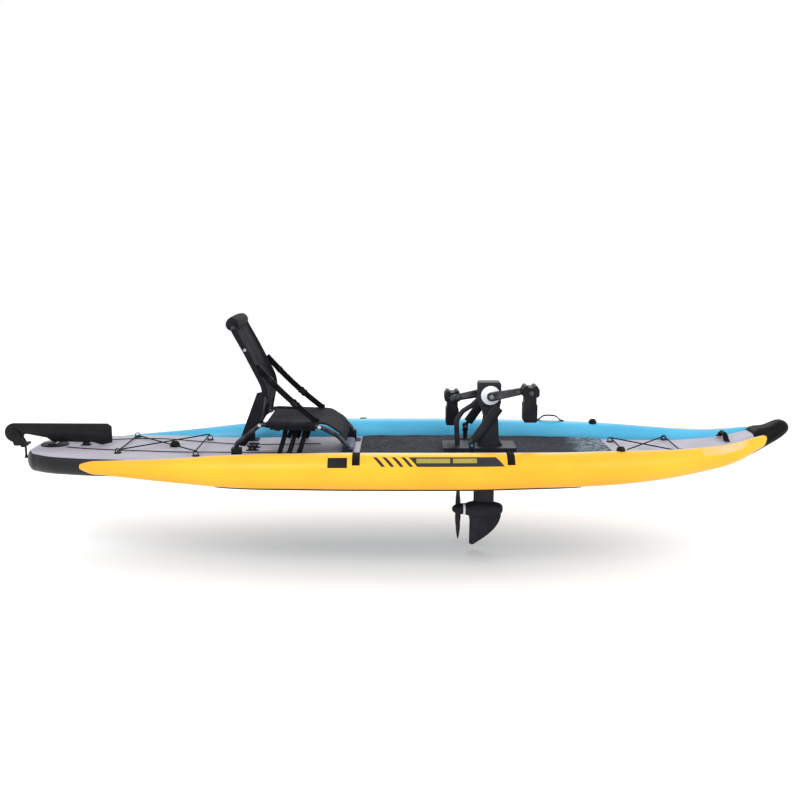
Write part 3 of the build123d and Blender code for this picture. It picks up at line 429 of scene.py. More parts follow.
# %% Read the ribs of a frame piece
def ribs_of(node, count):
    """Cuts a frame piece across at many places, closer at its ends, and gives each cut's box.

    An edge meets the cut where its first end plus a share of its run has the cut's place along the hull.
    """
    mesh = nodes[node].data
    points, edges = np.zeros(len(mesh.vertices) * 3), np.zeros(len(mesh.edges) * 2, int)
    mesh.vertices.foreach_get("co", points)
    mesh.edges.foreach_get("vertices", edges)
    first, last = points.reshape(-1, 3)[edges.reshape(-1, 2).T]
    stern, bow = points[::3].min(), points[::3].max()
    half_run = (bow - stern) / 2 - 0.0002
    places = (stern + bow) / 2 - half_run * np.cos(np.linspace(0, np.pi, count))
    ribs = []
    for place in places:
        met = (first[:, 0] < place) != (last[:, 0] < place)
        run = last[met] - first[met]
        here = first[met] + run * ((place - first[met, 0]) / run[:, 0])[:, None]
        ribs.append((place, here[:, 1].min(), here[:, 1].max(), here[:, 2].min(), here[:, 2].max()))
    return np.array(ribs)


class Probe:
    """Measures a frame piece by sending rays at it from outside."""

    def __init__(self, node):
        mesh = nodes[node].data
        self.tree = BVHTree.FromPolygons([v.co for v in mesh.vertices], [p.vertices for p in mesh.polygons])

    def hit(self, point, direction):
        """The first place on the piece that a ray towards the point meets, from two metres before it."""
        aim = Vector(direction).normalized()
        return self.tree.ray_cast(Vector(point) - aim * 2, aim)[0]

    def span(self, point, axis):
        """Where a line through the point enters and leaves the piece, along one axis."""
        direction = np.eye(3)[axis]
        low, high = self.hit(point, direction), self.hit(point, -direction)
        return (np.nan, np.nan) if low is None else (low[axis], high[axis])


def smooth_ribs(ribs, places):
    """Ribs at new places, on cubic curves whose slope at a rib is that of its two neighbours."""
    x = ribs[:, 0]
    slopes = np.gradient(ribs, x, axis=0)
    before = np.clip(np.searchsorted(x, places) - 1, 0, len(x) - 2)
    after = before + 1
    width = (x[after] - x[before])[:, None]
    t = (places - x[before])[:, None] / width
    rise = 3 * t**2 - 2 * t**3
    bend = (t**3 - 2 * t**2 + t) * slopes[before] * width + (t**3 - t**2) * slopes[after] * width
    return ribs[before] * (1 - rise) + ribs[after] * rise + bend


def around_tube(side, places, turn, lift):
    """Points on a side tube: its centre plus (radius + lift) times the sine inboard and cosine up."""
    sign = -1 if side == "starboard" else 1
    line = tube_lines[side]
    middle_y, middle_z, radius = (np.interp(places, line[:, 0], line[:, k])[:, None] for k in (1, 2, 3))
    turn = np.broadcast_to(turn, (len(places), np.shape(turn)[-1]))
    reach = radius + lift
    x = np.broadcast_to(np.asarray(places)[:, None], turn.shape)
    return np.stack([x, middle_y - sign * reach * np.sin(turn), middle_z + reach * np.cos(turn)], -1)


sides = (("starboard", -1), ("port", 1))
tube_rows, tube_columns = 320, 72
tube_lines = {}
for side, sign in sides:
    measured = ribs_of(f"{side}_tube", 25)
    ribs = smooth_ribs(measured, np.linspace(measured[0, 0], measured[-1, 0], tube_rows))
    middle_y, middle_z = (ribs[:, 1] + ribs[:, 2]) / 2, (ribs[:, 3] + ribs[:, 4]) / 2
    radius = (ribs[:, 4] - ribs[:, 3]) / 2
    tube_lines[side] = np.stack([ribs[:, 0], middle_y, middle_z, radius], 1)
    turn = np.radians(np.linspace(-180, 180, tube_columns + 1)[:-1])
    points = around_tube(side, ribs[:, 0], turn, 0.0)
    tube = add_piece(f"{side}_tube_skin", points, u=ribs[:, 0], v=np.linspace(-180, 180, tube_columns + 1),
                     body="hull", finish=tube_skin)
    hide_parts(f"{side}_tube")
    print(tube.name, len(measured), "ribs")

# %% [markdown]
# The floor is a drop-stitch panel: two sheets tied together by thousands of threads, so it is
# flat with fat round rails. Its section is a bar with round ends, and it narrows to a round
# stern. The well for the drive is cut out of it with a Boolean, as the real well is welded in.


# %% Rounded sections
def bar_section(half_width, half_height):
    """Closed sections, one a row: quarter circles at four corners joined by straight runs."""
    arc, flat = 9, 13
    corner = np.minimum(half_width, half_height)[:, None] * 0.96
    quarter = np.linspace(0, np.pi / 2, arc)
    run = np.linspace(1, -1, flat + 2)[1:-1]
    turn = np.concatenate([quarter, np.full(flat, np.pi / 2), quarter + np.pi / 2,
                           quarter + np.pi, np.full(flat, 1.5 * np.pi), quarter + 1.5 * np.pi])
    across = np.concatenate([np.ones(arc), run, -np.ones(2 * arc), -run, np.ones(arc)])
    up = np.concatenate([np.ones(2 * arc + flat), -np.ones(2 * arc + flat)])
    y = across * (half_width[:, None] - corner) + corner * np.cos(turn)
    z = up * (half_height[:, None] - corner) + corner * np.sin(turn)
    return y, z


def bar_body(name, x, half_width, low, high, finish):
    """A bar-shaped body along the hull: its sections stand at the places x."""
    y, z = bar_section(half_width, (high - low) / 2)
    points = np.stack([np.broadcast_to(x[:, None], y.shape), y, z + ((high + low) / 2)[:, None]], -1)
    return add_piece(name, points, u=x, body="hull", finish=finish, angle=50)


def settle(piece):
    """Applies a piece's modifiers to its mesh."""
    graph = bpy.context.evaluated_depsgraph_get()
    mesh = bpy.data.meshes.new_from_object(piece.evaluated_get(graph))
    piece.modifiers.clear()
    piece.data = mesh


well_rim = 0.026
well_depth = (-0.2, 0.3)


def cut_well(piece):
    """Takes the drive's well, inside the rim of its frame, right through a piece."""
    low, high = (np.array(corner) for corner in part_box("drive_well_frame"))
    low[:2] += well_rim
    high[:2] -= well_rim
    low[2], high[2] = well_depth
    work = bmesh.new()
    bmesh.ops.create_cube(work, size=1.0)
    bmesh.ops.scale(work, vec=high - low, verts=work.verts)
    bmesh.ops.translate(work, vec=(high + low) / 2, verts=work.verts)
    mesh = bpy.data.meshes.new("cutter")
    work.to_mesh(mesh)
    work.free()
    cutter = bpy.data.objects.new("cutter", mesh)
    bpy.context.collection.objects.link(cutter)
    boolean = piece.modifiers.new("well", "BOOLEAN")
    boolean.operation, boolean.solver, boolean.object = "DIFFERENCE", "EXACT", cutter
    settle(piece)
    bpy.data.objects.remove(cutter)


# %% Floor and nose
board_ribs = ribs_of("floor_board", 31)
stern_x, nose_x = board_ribs[0, 0], board_ribs[-1, 0]
stern_rounding = 0.035   # the stern's edge rounds off over this length
board_x = stern_x + (nose_x - stern_x) * np.linspace(0, 1, 260) ** 1.6
board = smooth_ribs(board_ribs, board_x)
stern_round = np.sqrt(np.clip((board_x - stern_x) / stern_rounding, 0.10, 1))
half_height = (board[:, 4] - board[:, 3]) / 2 * stern_round
middle_z = (board[:, 4] + board[:, 3]) / 2
floor_panel = bar_body("floor_panel", board_x, (board[:, 2] - board[:, 1]) / 2, middle_z - half_height,
                       middle_z + half_height, deck_sheet)
cut_well(floor_panel)
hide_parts("floor_board")

nose_probe = Probe("bow_nose")
nose_low, nose_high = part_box("bow_nose")
cap_x = nose_low[0] + (nose_high[0] - nose_low[0]) * np.sin(np.linspace(0.02, 0.985, 50) * np.pi / 2)
nose_z = np.array([nose_probe.span((x, 0, 0), 2) for x in cap_x])
nose_y = np.array([nose_probe.span((x, 0, z.mean()), 1) for x, z in zip(cap_x, nose_z)])
swell = 0.0015   # the cap's rubber over the hull
nose_cap = bar_body("nose_cap", cap_x, (nose_y[:, 1] - nose_y[:, 0]) / 2 + swell, nose_z[:, 0] - swell,
                    nose_z[:, 1] + swell, nose_skin)
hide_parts("bow_nose")
print("floor", len(board_ribs), "ribs, nose", nose_low, nose_high)

# %% [markdown]
# Between the seat and the foredeck lies a foam floor mat in marbled dark grey. Marble is noise
# that bends other noise: thin pale veins where a warped wave crosses its middle. Towards the
# bow the mat's marbling turns paler and bluer.


# %% Marbled mat
def marble_finish():
    """Dark foam with thin veins, paler towards the bow, ribbed across."""
    foam = Finish("marbled_foam", specular_ior_level=0.06)
    x, y, z = foam.axes(foam.place())
    warp = foam.noise(7.0, 6.0, 0.6, distortion=1.2)
    vein = (warp * 34.0 + x * 9.0).math("SINE").math("ABSOLUTE")
    thin = 1 - vein.soft(0.02, 0.32)
    cloud = foam.noise(4.0, 5.0, 0.65)
    base = foam.mix(cloud.soft(0.35, 0.7), (0.006, 0.006, 0.009), (0.026, 0.027, 0.034))
    base = foam.mix(thin * 0.7, base, (0.10, 0.105, 0.125))
    patches = foam.noise(22.0, 6.0, 0.7, distortion=1.5).soft(0.42, 0.62)
    pale = foam.mix(patches, (0.045, 0.062, 0.082), (0.27, 0.32, 0.37))
    base = foam.mix((x + cloud * 0.2).soft(0.90, 0.96) * 0.8, base, pale)
    ribs = y.wave(110) * 0.6 + foam.noise(500.0, 2.0) * 0.4
    return foam.done(base, 0.62 + cloud * 0.15, height=ribs, depth=0.0006)


mat_inset = 0.016      # the mat's side edge from the floor's
mat_corner = 0.05      # its corners round off over this length
rail_curve = 0.05      # radius of the floor's round rail, which the mat bends over
mat_low, mat_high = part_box("cockpit_liner")
mat_x = mat_low[0] + (mat_high[0] - mat_low[0]) * (0.5 - 0.5 * np.cos(np.linspace(0, np.pi, 120)))
mat_board = smooth_ribs(board_ribs, mat_x)
board_half = (mat_board[:, 2] - mat_board[:, 1]) / 2
corner = np.clip((mat_x - mat_low[0]) / mat_corner, 0, 1) * np.clip((mat_high[0] - mat_x) / mat_corner, 0, 1)
mat_half = (board_half - mat_inset) * (0.80 + 0.20 * np.sqrt(1 - (1 - corner) ** 2))
across = np.sin(np.linspace(-np.pi / 2, np.pi / 2, 61))
mat_y = mat_half[:, None] * across
rail_depth = np.clip(np.abs(mat_y) - (board_half[:, None] - rail_curve), 0, rail_curve - 0.0005)
droop = rail_curve - np.sqrt(rail_curve**2 - rail_depth**2)
quilt = 0.0012 * np.sin(mat_x * 34)[:, None] * np.cos(mat_y * 21)
edge = np.clip((1 - np.abs(across)) / 0.03, 0, 1) ** 0.5
mat_top = mat_low[2] + 0.001 - droop + (mat_high[2] - mat_low[2] - 0.002 + quilt) * edge
mat_points = np.stack([np.broadcast_to(mat_x[:, None], mat_y.shape), mat_y, mat_top], -1)
underneath = mat_points[:, ::-1] * (1, 1, 0) + (0, 0, 1) * (mat_low[2] - 0.001 - droop[:, ::-1])[..., None]
mat = add_piece("floor_mat", np.concatenate([mat_points, underneath], 1), u=mat_x, body="hull",
                finish=marble_finish())
cut_well(mat)
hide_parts("cockpit_liner")

# %% [markdown]
# Webbing, cords and seat cloth are all woven. Their weave is two waves that cross, and it is
# bumped rather than drawn.


# %% Woven finishes
def webbing_finish(name, dark, light):
    """Webbing and braid: two slanted waves that cross."""
    cloth = Finish(name, specular_ior_level=0.08)
    x, y, z = cloth.axes(cloth.place())
    ribs = (x + y * 0.3 + z * 0.7).wave(520) * 0.6 + (y - x * 0.2 - z * 0.4).wave(400) * 0.4
    wear = cloth.noise(40.0, 4.0)
    base = cloth.mix(wear.soft(0.4, 0.8), dark, light)
    return cloth.done(base, 0.62 + wear * 0.2, height=ribs, depth=0.0006)


def cloth_finish(name, dark, light, pitch=320):
    """Seat cloth: a fine two-way weave with a slow change of shade from wear."""
    cloth = Finish(name, specular_ior_level=0.10)
    x, y, z = cloth.axes(cloth.place())
    weave = (x + z).wave(pitch) * 0.5 + y.wave(pitch) * 0.5
    creases = cloth.noise(16.0, 5.0, 0.6)
    fold = cloth.noise(5.0, 3.0, 0.5, distortion=0.8)
    base = cloth.mix((creases * 0.5 + fold * 0.5).soft(0.35, 0.68), dark, light)
    return cloth.done(base, 0.68 + creases * 0.2, height=weave * 0.25 + creases * 0.8 + fold, depth=0.0018)


webbing = webbing_finish("black_webbing", (0.004, 0.004, 0.005), (0.014, 0.014, 0.016))
seat_cloth = cloth_finish("seat_cloth", (0.005, 0.005, 0.007), (0.016, 0.016, 0.021))
cord_cloth = webbing_finish("braided_cord", (0.005, 0.005, 0.006), (0.02, 0.02, 0.023))
black_plastic = black_finish("moulded_black_plastic")
drive_plastic = black_finish("drive_casting", (0.016, 0.016, 0.021), (0.034, 0.034, 0.042), 0.42, 500.0)
patch_rubber = black_finish("patch_rubber", (0.006, 0.006, 0.008), (0.014, 0.014, 0.017), 0.5)
gloss_black = black_finish("satin_black_moulding", (0.005, 0.005, 0.006), (0.010, 0.010, 0.012), 0.32, 300.0,
                           0.0001, coat_weight=0.08)


def metal_finish(name, base, high, rough, metal=1.0):
    """Metal with fine marks along its length and a little change of shade."""
    bar = Finish(name)
    x, y, z = bar.axes(bar.place())
    stretch = bar.node("ShaderNodeCombineXYZ", inputs={0: x * 12.0, 1: y * 260.0, 2: z * 260.0})
    marks = bar.noise(1.0, 3.0, vector=stretch)
    shade = bar.mix(bar.noise(30.0, 5.0).soft(0.4, 0.75), base, high)
    return bar.done(shade, rough + marks * 0.15, metal, height=marks, depth=0.0002)


steel = metal_finish("polished_stainless", (0.36, 0.36, 0.38), (0.52, 0.52, 0.54), 0.18)
bracket_steel = metal_finish("brushed_bracket", (0.20, 0.20, 0.21), (0.34, 0.34, 0.35), 0.30)
anodised = metal_finish("black_anodised_tube", (0.028, 0.028, 0.032), (0.075, 0.075, 0.08), 0.26, metal=0.85)
crank_metal = metal_finish("cold_forged_crank", (0.045, 0.045, 0.05), (0.11, 0.11, 0.12), 0.30, metal=0.9)
gear_steel = metal_finish("oiled_gear_steel", (0.30, 0.30, 0.31), (0.42, 0.42, 0.42), 0.3)


def white_cover_finish():
    """White moulded plastic with faint specks under a clear coat."""
    cap = Finish("white_moulded_cover", coat_weight=0.3)
    speck = cap.noise(35.0, 4.0)
    return cap.done(cap.mix(speck, (0.86, 0.86, 0.92), (0.93, 0.93, 0.96)), 0.28 + speck * 0.1,
                    height=cap.noise(400.0, 2.0), depth=0.0001)


white_cover = white_cover_finish()
dress(bracket_steel, "rudder_bracket")
dress(steel, "seat_bolts", "back_bolts", "crank_bolts", "rod_holder_bolts", "prop_shaft")
dress(anodised, "port_seat_frame", "starboard_seat_frame", "seat_crossbars", "back_frame")
dress(black_plastic, "line_cleats", "blade_rest", "valve_bodies", "floor_valve_cap", "port_valve_cap",
      "starboard_valve_cap", "rod_holder_bases", "starboard_rod_holder", "port_rod_holder",
      "rudder_base_plate", "shaft_bushings")
dress(patch_rubber, "deck_rings", "seat_foot_patches")
dress(drive_plastic, "drive_pod", "propeller", "drive_column", "drive_arch")
dress(gear_steel, "crank_spindle", "ring_gear", "upright_shaft")
dress(white_cover, "pod_seal_ring")

# %% [markdown]
# Flat webbing is a thin bar carried along a smooth curve: the deck handles, the seat straps
# and the ties. Each ribbon's corners are rounded and its ends are sewn down.


# %% Ribbons
def ribbon(name, route, width, thickness, up=(0, 0, 1), count=60):
    """A thin bar section carried along a smooth curve through the route."""
    path = curve_through(route, count)
    return add_piece(name, carry(path, slab(width, thickness), up), body="hull", finish=webbing)


def lying_patch(name, side, start, end, inner, outer, lift, finish, columns=16, rows=20, cut=1.0):
    """A thin patch glued on a side tube, between two places and two angles, thin at its edges."""
    places, turn = np.linspace(start, end, rows), np.radians(np.linspace(inner, outer, columns))
    edge = np.minimum(np.linspace(0, 1, rows), np.linspace(1, 0, rows))[:, None]
    side_edge = np.minimum(np.linspace(0, 1, columns), np.linspace(1, 0, columns))
    height = lift * np.clip(np.minimum(edge * rows, side_edge * columns), 0.05, 1)
    middle = (turn[0] + turn[-1]) / 2
    narrow = 1 - (1 - cut) * np.clip(1 - np.minimum(edge * 6, 1), 0, 1) ** 2
    turns = middle + (turn - middle) * narrow
    top = around_tube(side, places, turns, height)
    below = around_tube(side, places, turns[:, ::-1], -0.004)
    return add_piece(name, np.concatenate([top, below], 1), body="hull", finish=finish)


# %% [markdown]
# Patches, strakes and tabs are glued to the tubes. Each follows the tube's own curve: it is the
# same surface again, a little further out, between two places and two angles.

# %% Patches on the tubes
peach = Finish("plain_bow_patch")
peach_base = peach.mix(peach.noise(9.0, 4.0, 0.6).soft(0.35, 0.65), (0.90, 0.46, 0.12), (0.86, 0.50, 0.26))
bow_patch_skin = peach.done(peach_base, 0.42, height=peach.noise(800.0, 2.0), depth=0.0003)
strake_low, strake_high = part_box("rub_strakes")
tab_low, tab_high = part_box("side_tabs")
tab_width = 0.034
for side, _ in sides:
    strake = lying_patch(f"{side}_rub_strake", side, strake_low[0], strake_high[0], 155, 205, 0.0045,
                         patch_rubber, 24, 160, cut=0.2)
    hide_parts("rub_strakes")
    for number, place in enumerate((tab_low[0], tab_high[0] - tab_width)):
        tab = lying_patch(f"{side}_side_tab_{number + 1}", side, place, place + tab_width, 6, -58, 0.0032,
                          webbing)
        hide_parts("side_tabs")
    lying_patch(f"{side}_seat_patch", side, -0.355, -0.270, -30, -66, 0.0022, patch_rubber)
    lying_patch(f"{side}_bow_patch", side, 1.33, 1.57, -12, -62, 0.0018, bow_patch_skin, 20, 40, cut=0.55)

# %% [markdown]
# The grab handles are webbing: two feet sewn flat to the deck and a loop between them, with a
# rubber sleeve at the middle of the loop.

# %% Grab handles
bow_low, bow_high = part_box("bow_handle")
bow_x, bow_foot = (bow_low[0] + bow_high[0]) / 2, bow_low[2] + 0.002
bow_steps = ((0, 0), (0.012, 0), (0.024, 0.008), (0.040, 0.023), (0.066, 0.026), (0.092, 0.023),
             (0.108, 0.008), (0.120, 0), (0.132, 0))
bow_route = [(bow_x, bow_low[1] + y, bow_foot + z) for y, z in bow_steps]
bow_strap = ribbon("bow_handle_webbing", bow_route, 0.026, 0.003)
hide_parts("bow_handle")
sleeve_path = curve_through([(bow_x, y, bow_foot + 0.026) for y in (-0.024, -0.022, 0, 0.022, 0.024)], 30)
taper = np.interp(np.linspace(0, 1, 30), (0, 0.06, 0.12, 0.88, 0.94, 1), (0.6, 0.93, 1, 1, 0.93, 0.6))
add_piece("bow_handle_sleeve", carry(sleeve_path, ring(0.0095, 18), scale=taper), body="hull",
          finish=patch_rubber)
side_low, side_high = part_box("port_side_handle")
side_shares = np.array([0, 0.08, 0.16, 0.28, 0.5, 0.72, 0.84, 0.92, 1])
side_places = side_low[0] + (side_high[0] - side_low[0]) * side_shares
crown = around_tube("port", side_places, np.zeros(1), 0.002)[:, 0]
crown[:, 2] += np.array([0, 0, 0.006, 0.021, 0.025, 0.021, 0.006, 0, 0])
side_strap = ribbon("port_side_handle_webbing", crown, 0.030, 0.003)
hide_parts("port_side_handle")

# %% [markdown]
# The elastic lashings and the steering lines are round cords held at both ends. Each is one
# smooth curve through a short listed route, and its sheath is a diagonal braid.


# %% Cords
def held_cord(name, route, radius, finish):
    """A curve of one open spline that has the route's points as its control points."""
    curve = bpy.data.curves.new(name, "CURVE")
    curve.dimensions = "3D"
    curve.bevel_depth, curve.bevel_resolution, curve.resolution_u = radius, 5, 12
    spline = curve.splines.new("NURBS")
    spline.points.add(len(route) - 1)
    spline.points.foreach_set("co", [value for point in route for value in (*point, 1.0)])
    spline.order_u = 3
    spline.use_endpoint_u = True
    curve.use_fill_caps = True
    cord = bpy.data.objects.new(name, curve)
    bpy.context.collection.objects.link(cord)
    curve.materials.append(finish)
    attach(cord, "hull")
    return cord


aft_route = [
    (-1.345, -0.170, 0.129), (-1.345, -0.134, 0.129), (-1.345, 0.134, 0.129),
    (-1.345, 0.170, 0.129), (-1.319, 0.145, 0.1291), (-1.011, -0.145, 0.130),
    (-0.985, -0.170, 0.130), (-0.985, -0.134, 0.1305), (-0.985, 0.134, 0.135),
    (-0.985, 0.170, 0.1355), (-1.011, 0.145, 0.1358), (-1.303, -0.137, 0.1364),
    (-1.329, -0.162, 0.1365)
]
fore_route = [
    (1.000, -0.150, 0.1225), (1.000, -0.114, 0.1225), (1.000, 0.114, 0.1225),
    (1.000, 0.150, 0.1225), (1.024, 0.123, 0.1226), (1.241, -0.123, 0.1235),
    (1.265, -0.150, 0.1235), (1.265, -0.114, 0.124), (1.265, 0.114, 0.1285), (1.265, 0.150, 0.129),
    (1.242, 0.123, 0.1291), (1.039, -0.115, 0.1299), (1.016, -0.142, 0.130)
]
for name, route in (("aft_bungee", aft_route), ("fore_bungee", fore_route)):
    bungee = held_cord(name, route, 0.003, cord_cloth)
    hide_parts("deck_bungees")
steering_route = [
    (-1.620, 0.058, 0.1234), (-1.540, 0.086, 0.123), (-1.425, 0.110, 0.1232),
    (-1.310, 0.128, 0.123), (-1.190, 0.134, 0.1206), (-1.065, 0.120, 0.113),
    (-0.940, 0.099, 0.108), (-0.820, 0.084, 0.1035), (-0.690, 0.082, 0.1033),
    (-0.560, 0.092, 0.1033), (-0.430, 0.104, 0.1032)
]
for side, sign in sides:
    route = [(x, sign * y, z) for x, y, z in steering_route]
    line = held_cord(f"{side}_steering_line", route, 0.002, cord_cloth)
    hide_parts("steering_lines")
yellow_line = Finish("yellow_braid")
yellow_base = yellow_line.mix(yellow_line.noise(300.0), (0.75, 0.55, 0.12), (0.9, 0.75, 0.3))
yellow_braid = yellow_line.done(yellow_base, 0.7, height=yellow_line.noise(700.0), depth=0.0005)
held_cord("cleated_tail", [(-0.700, -0.030, 0.104), (-0.660, -0.036, 0.103), (-0.610, -0.028, 0.1025),
                           (-0.560, -0.034, 0.1025)], 0.0022, yellow_braid)

# %% [markdown]
# The seat back is a fabric sleeve pulled over two tubes. Its section is like a bone: round over
# each tube and thin between them, where it sags a little backwards. Down the sleeve run soft
# folds, and below the tubes' bend it narrows to a tongue that is sewn to nothing.

# %% Seat back
back_probe = Probe("back_frame")
pivot = np.array(next(joint["pos_m"] for joint in frame["joints"] if joint["name"] == "seat_fold"))
tube_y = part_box("back_frame")[1][1] - 0.010   # the side tubes' middle line, inside the frame's box
tongue_half, sleeve_radius = 0.052, 0.0128
heights = pivot[2] + np.concatenate([[0.062], np.linspace(0.065, 0.432, 110), [0.4345]])
line_x = np.array([np.mean(back_probe.span((-0.7, tube_y, z), 0)) for z in heights])
slope = np.gradient(line_x, heights)
normal = unit(np.stack([np.ones_like(slope), np.zeros_like(slope), -slope], 1))
wrap = tube_y + 0.0130
lower = np.clip((heights - heights[0]) / 0.070, 0, 1)
cover_half = tongue_half + (wrap - tongue_half) * np.sin(lower * np.pi / 2) ** 1.6
cover_half[0] *= 0.97
share = np.sin(np.linspace(-np.pi / 2, np.pi / 2, 91))
cover_y = cover_half[:, None] * share
over_tube = np.sqrt(np.clip(sleeve_radius**2 - (np.abs(cover_y) - tube_y) ** 2, 0, None))
plain = 0.0045 * np.sqrt(np.clip(1 - share**8, 0, 1))
thick = (over_tube**3 + plain**3) ** (1 / 3)
climb = ((heights - heights[0]) / np.ptp(heights))[:, None]
middle_part = np.clip(1 - (cover_y / tube_y) ** 2, 0, 1) ** 0.8
sag = -0.016 * np.sin(climb * np.pi) * middle_part
folds = (np.sin(cover_y * 58 + 5 * climb) * 0.0016 + np.sin(cover_y * 101 - 9 * climb) * 0.0009
         + np.sin(climb * 31 + cover_y * 16) * 0.0008) * middle_part
middle_line = np.stack([line_x, np.zeros_like(line_x), heights], 1)


def cover_side(offset):
    """Points of one face of the sleeve: its middle line, out by y, and off along the normal."""
    out = np.array([0, 1, 0]) * cover_y[..., None]
    return middle_line[:, None] + out + normal[:, None] * offset[..., None]


front, behind = cover_side(sag + folds + thick), cover_side(sag + folds - thick)
back_sleeve = add_piece("seat_back_sleeve", np.concatenate([front, behind[:, ::-1]], 1), body="seat_back",
                        finish=seat_cloth, angle=70)
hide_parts("back_cover")

roll_low, roll_high = (np.array(corner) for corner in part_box("head_roll"))
roll_middle = (roll_low + roll_high) / 2
roll_half, roll_radius = (roll_high[1] - roll_low[1]) / 2, (roll_high[2] - roll_low[2]) / 2
span = np.sin(np.linspace(-np.pi / 2, np.pi / 2, 70))[:, None]
fat = roll_radius * (1 - np.abs(span) ** 7) ** 0.42
turn = full_turn(64)
pleat = 1 + 0.02 * np.sin(turn * 5) * span**2 + 0.012 * np.sin(span * 11 + turn * 2)
squared = (np.abs(np.cos(turn)) ** 3 + np.abs(np.sin(turn)) ** 3) ** (-1 / 3)
reach = fat * pleat * (0.4 + 0.6 * squared)
roll_points = np.stack([roll_middle[0] + reach * np.cos(turn), np.broadcast_to(roll_half * span, reach.shape),
                        roll_middle[2] + reach * np.sin(turn)], -1)
roll = add_piece("head_roll_cover", roll_points, body="seat_back", finish=seat_cloth, angle=80)
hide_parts("head_roll")
piping_turn, piping_reach = np.linspace(0, 2 * np.pi, 49), roll_radius * 0.85
for side, sign in sides:
    seam = np.stack([roll_middle[0] + piping_reach * np.cos(piping_turn),
                     np.full(49, sign * roll_half * 0.86),
                     roll_middle[2] + piping_reach * np.sin(piping_turn)], 1)
    add_piece(f"head_roll_piping_{side}", carry(seam, ring(0.0022, 10), (0, 1, 0)), body="seat_back",
              finish=webbing)

# %% [markdown]
# The seat pan is the same cloth, stretched between the side frames and wrapped round them. Its
# rear corners dip, so that the folding back can pass, and its front rolls down in a waterfall.

# %% Seat pan
pan_probe, rail_probe = Probe("seat_pan"), Probe("port_seat_frame")
pan_low, pan_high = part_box("seat_pan")
pan_x = np.concatenate([[pan_low[0] + 0.0008], np.linspace(pan_low[0] + 0.003, pan_high[0] - 0.006, 120)])
pan_span = np.array([pan_probe.span((x, 0, 0), 2) for x in pan_x])
rail_y = 0.200   # middle line of the side rails, which the pan wraps at its front
rail_z = np.array([rail_probe.span((x, rail_y, 0), 2)[1] for x in pan_x]) - 0.011
front_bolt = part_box("seat_bolts")[1][0] - 0.008
wraps = 1 / (1 + np.exp((pan_x - front_bolt + 0.014) / 0.004))
pan_half = 0.1865 + (rail_y + 0.0135 - 0.1865) * wraps
pan_y = pan_half[:, None] * share
folding = 1 / (1 + np.exp((pan_x - pivot[0] - 0.128) / 0.006))
channel = folding[:, None] * np.exp(-(((np.abs(pan_y) - 0.1725) / 0.0115) ** 4))
dip = np.sin(np.clip((pan_x - pan_low[0]) / 0.24, 0, 1) * np.pi)[:, None]
pan_sag = 0.010 * dip * np.clip(1 - (pan_y / 0.185) ** 2, 0, 1)
wide_x = np.broadcast_to(pan_x[:, None], pan_y.shape)
pan_creases = 0.0012 * np.sin(wide_x * 120) * np.sin(pan_y * 40 + wide_x * 60) * (1 - np.abs(share)) ** 0.5
half_thick = (pan_span[:, 1] - pan_span[:, 0])[:, None] / 2 * 0.92
hug = wraps[:, None] / (1 + np.exp(-(np.abs(pan_y) - 0.186) / 0.0018))
round_rail = np.sqrt(np.clip(0.0136**2 - (np.abs(pan_y) - rail_y) ** 2, 0, None))
flat_edge = half_thick * np.clip((1 - np.abs(share)) * 40, 0, 1) ** 0.5
pan_middle = pan_span.mean(1)[:, None] - pan_sag + pan_creases - 0.021 * channel
sheet_half = flat_edge * (1 - 0.5 * channel)
pan_top = (pan_middle + sheet_half) * (1 - hug) + (rail_z[:, None] + round_rail) * hug
pan_base = (pan_middle - sheet_half) * (1 - hug) + (rail_z[:, None] - round_rail) * hug
upper = np.stack([wide_x, pan_y, pan_top], -1)
under = np.stack([wide_x, pan_y, pan_base], -1)
pan_cover = add_piece("seat_pan_cover", np.concatenate([upper, under[:, ::-1]], 1), body="hull",
                      finish=seat_cloth, angle=70)
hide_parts("seat_pan")

hem_x = np.linspace(pan_low[0] + 0.02, front_bolt - 0.02, 70)
hem_z = np.interp(hem_x, pan_x, rail_z)
hem_section = ((0.0135, 0.004), (0.0136, -0.010), (0.0138, -0.019), (0.0118, -0.0195), (0.0118, -0.010),
               (0.0112, 0.004))
ripple = 0.0012 * np.sin(hem_x * 90)
for side, sign in sides:
    rows = [np.stack([hem_x, sign * (rail_y + out + ripple * (drop < 0)), hem_z + drop], 1)
            for out, drop in hem_section]
    hem = add_piece(f"{side}_pan_hem", np.stack(rows, 1), body="hull", finish=webbing, angle=60)

# %% [markdown]
# The seat is held by flat webbing: straps with slides and buckles from the back to the pan,
# which bend with the fold, ties under the pan, and a gusset behind each leg.


# %% Straps and gussets
def buckle(name, middle, along, size):
    """A moulded buckle: a rounded bar section along the strap, with a waist."""
    length, depth, height = size
    reach = np.linspace(-0.5, 0.5, 16)
    shape = np.interp(np.abs(reach), (0, 0.30, 0.44, 0.5), (0.82, 1.0, 0.96, 0.72))
    path = middle + along * (reach * length)[:, None]
    return add_piece(name, carry(path, slab(depth, height, 0.4), np.cross((0, 1, 0), along), shape),
                     finish=black_plastic, angle=35)


def strap_at(top, end, part):
    """A place part of the way down a strap, which hangs a little below the straight line."""
    return top + (end - top) * part - np.array([0.3, 0, 1]) * 0.010 * np.sin(part * np.pi)


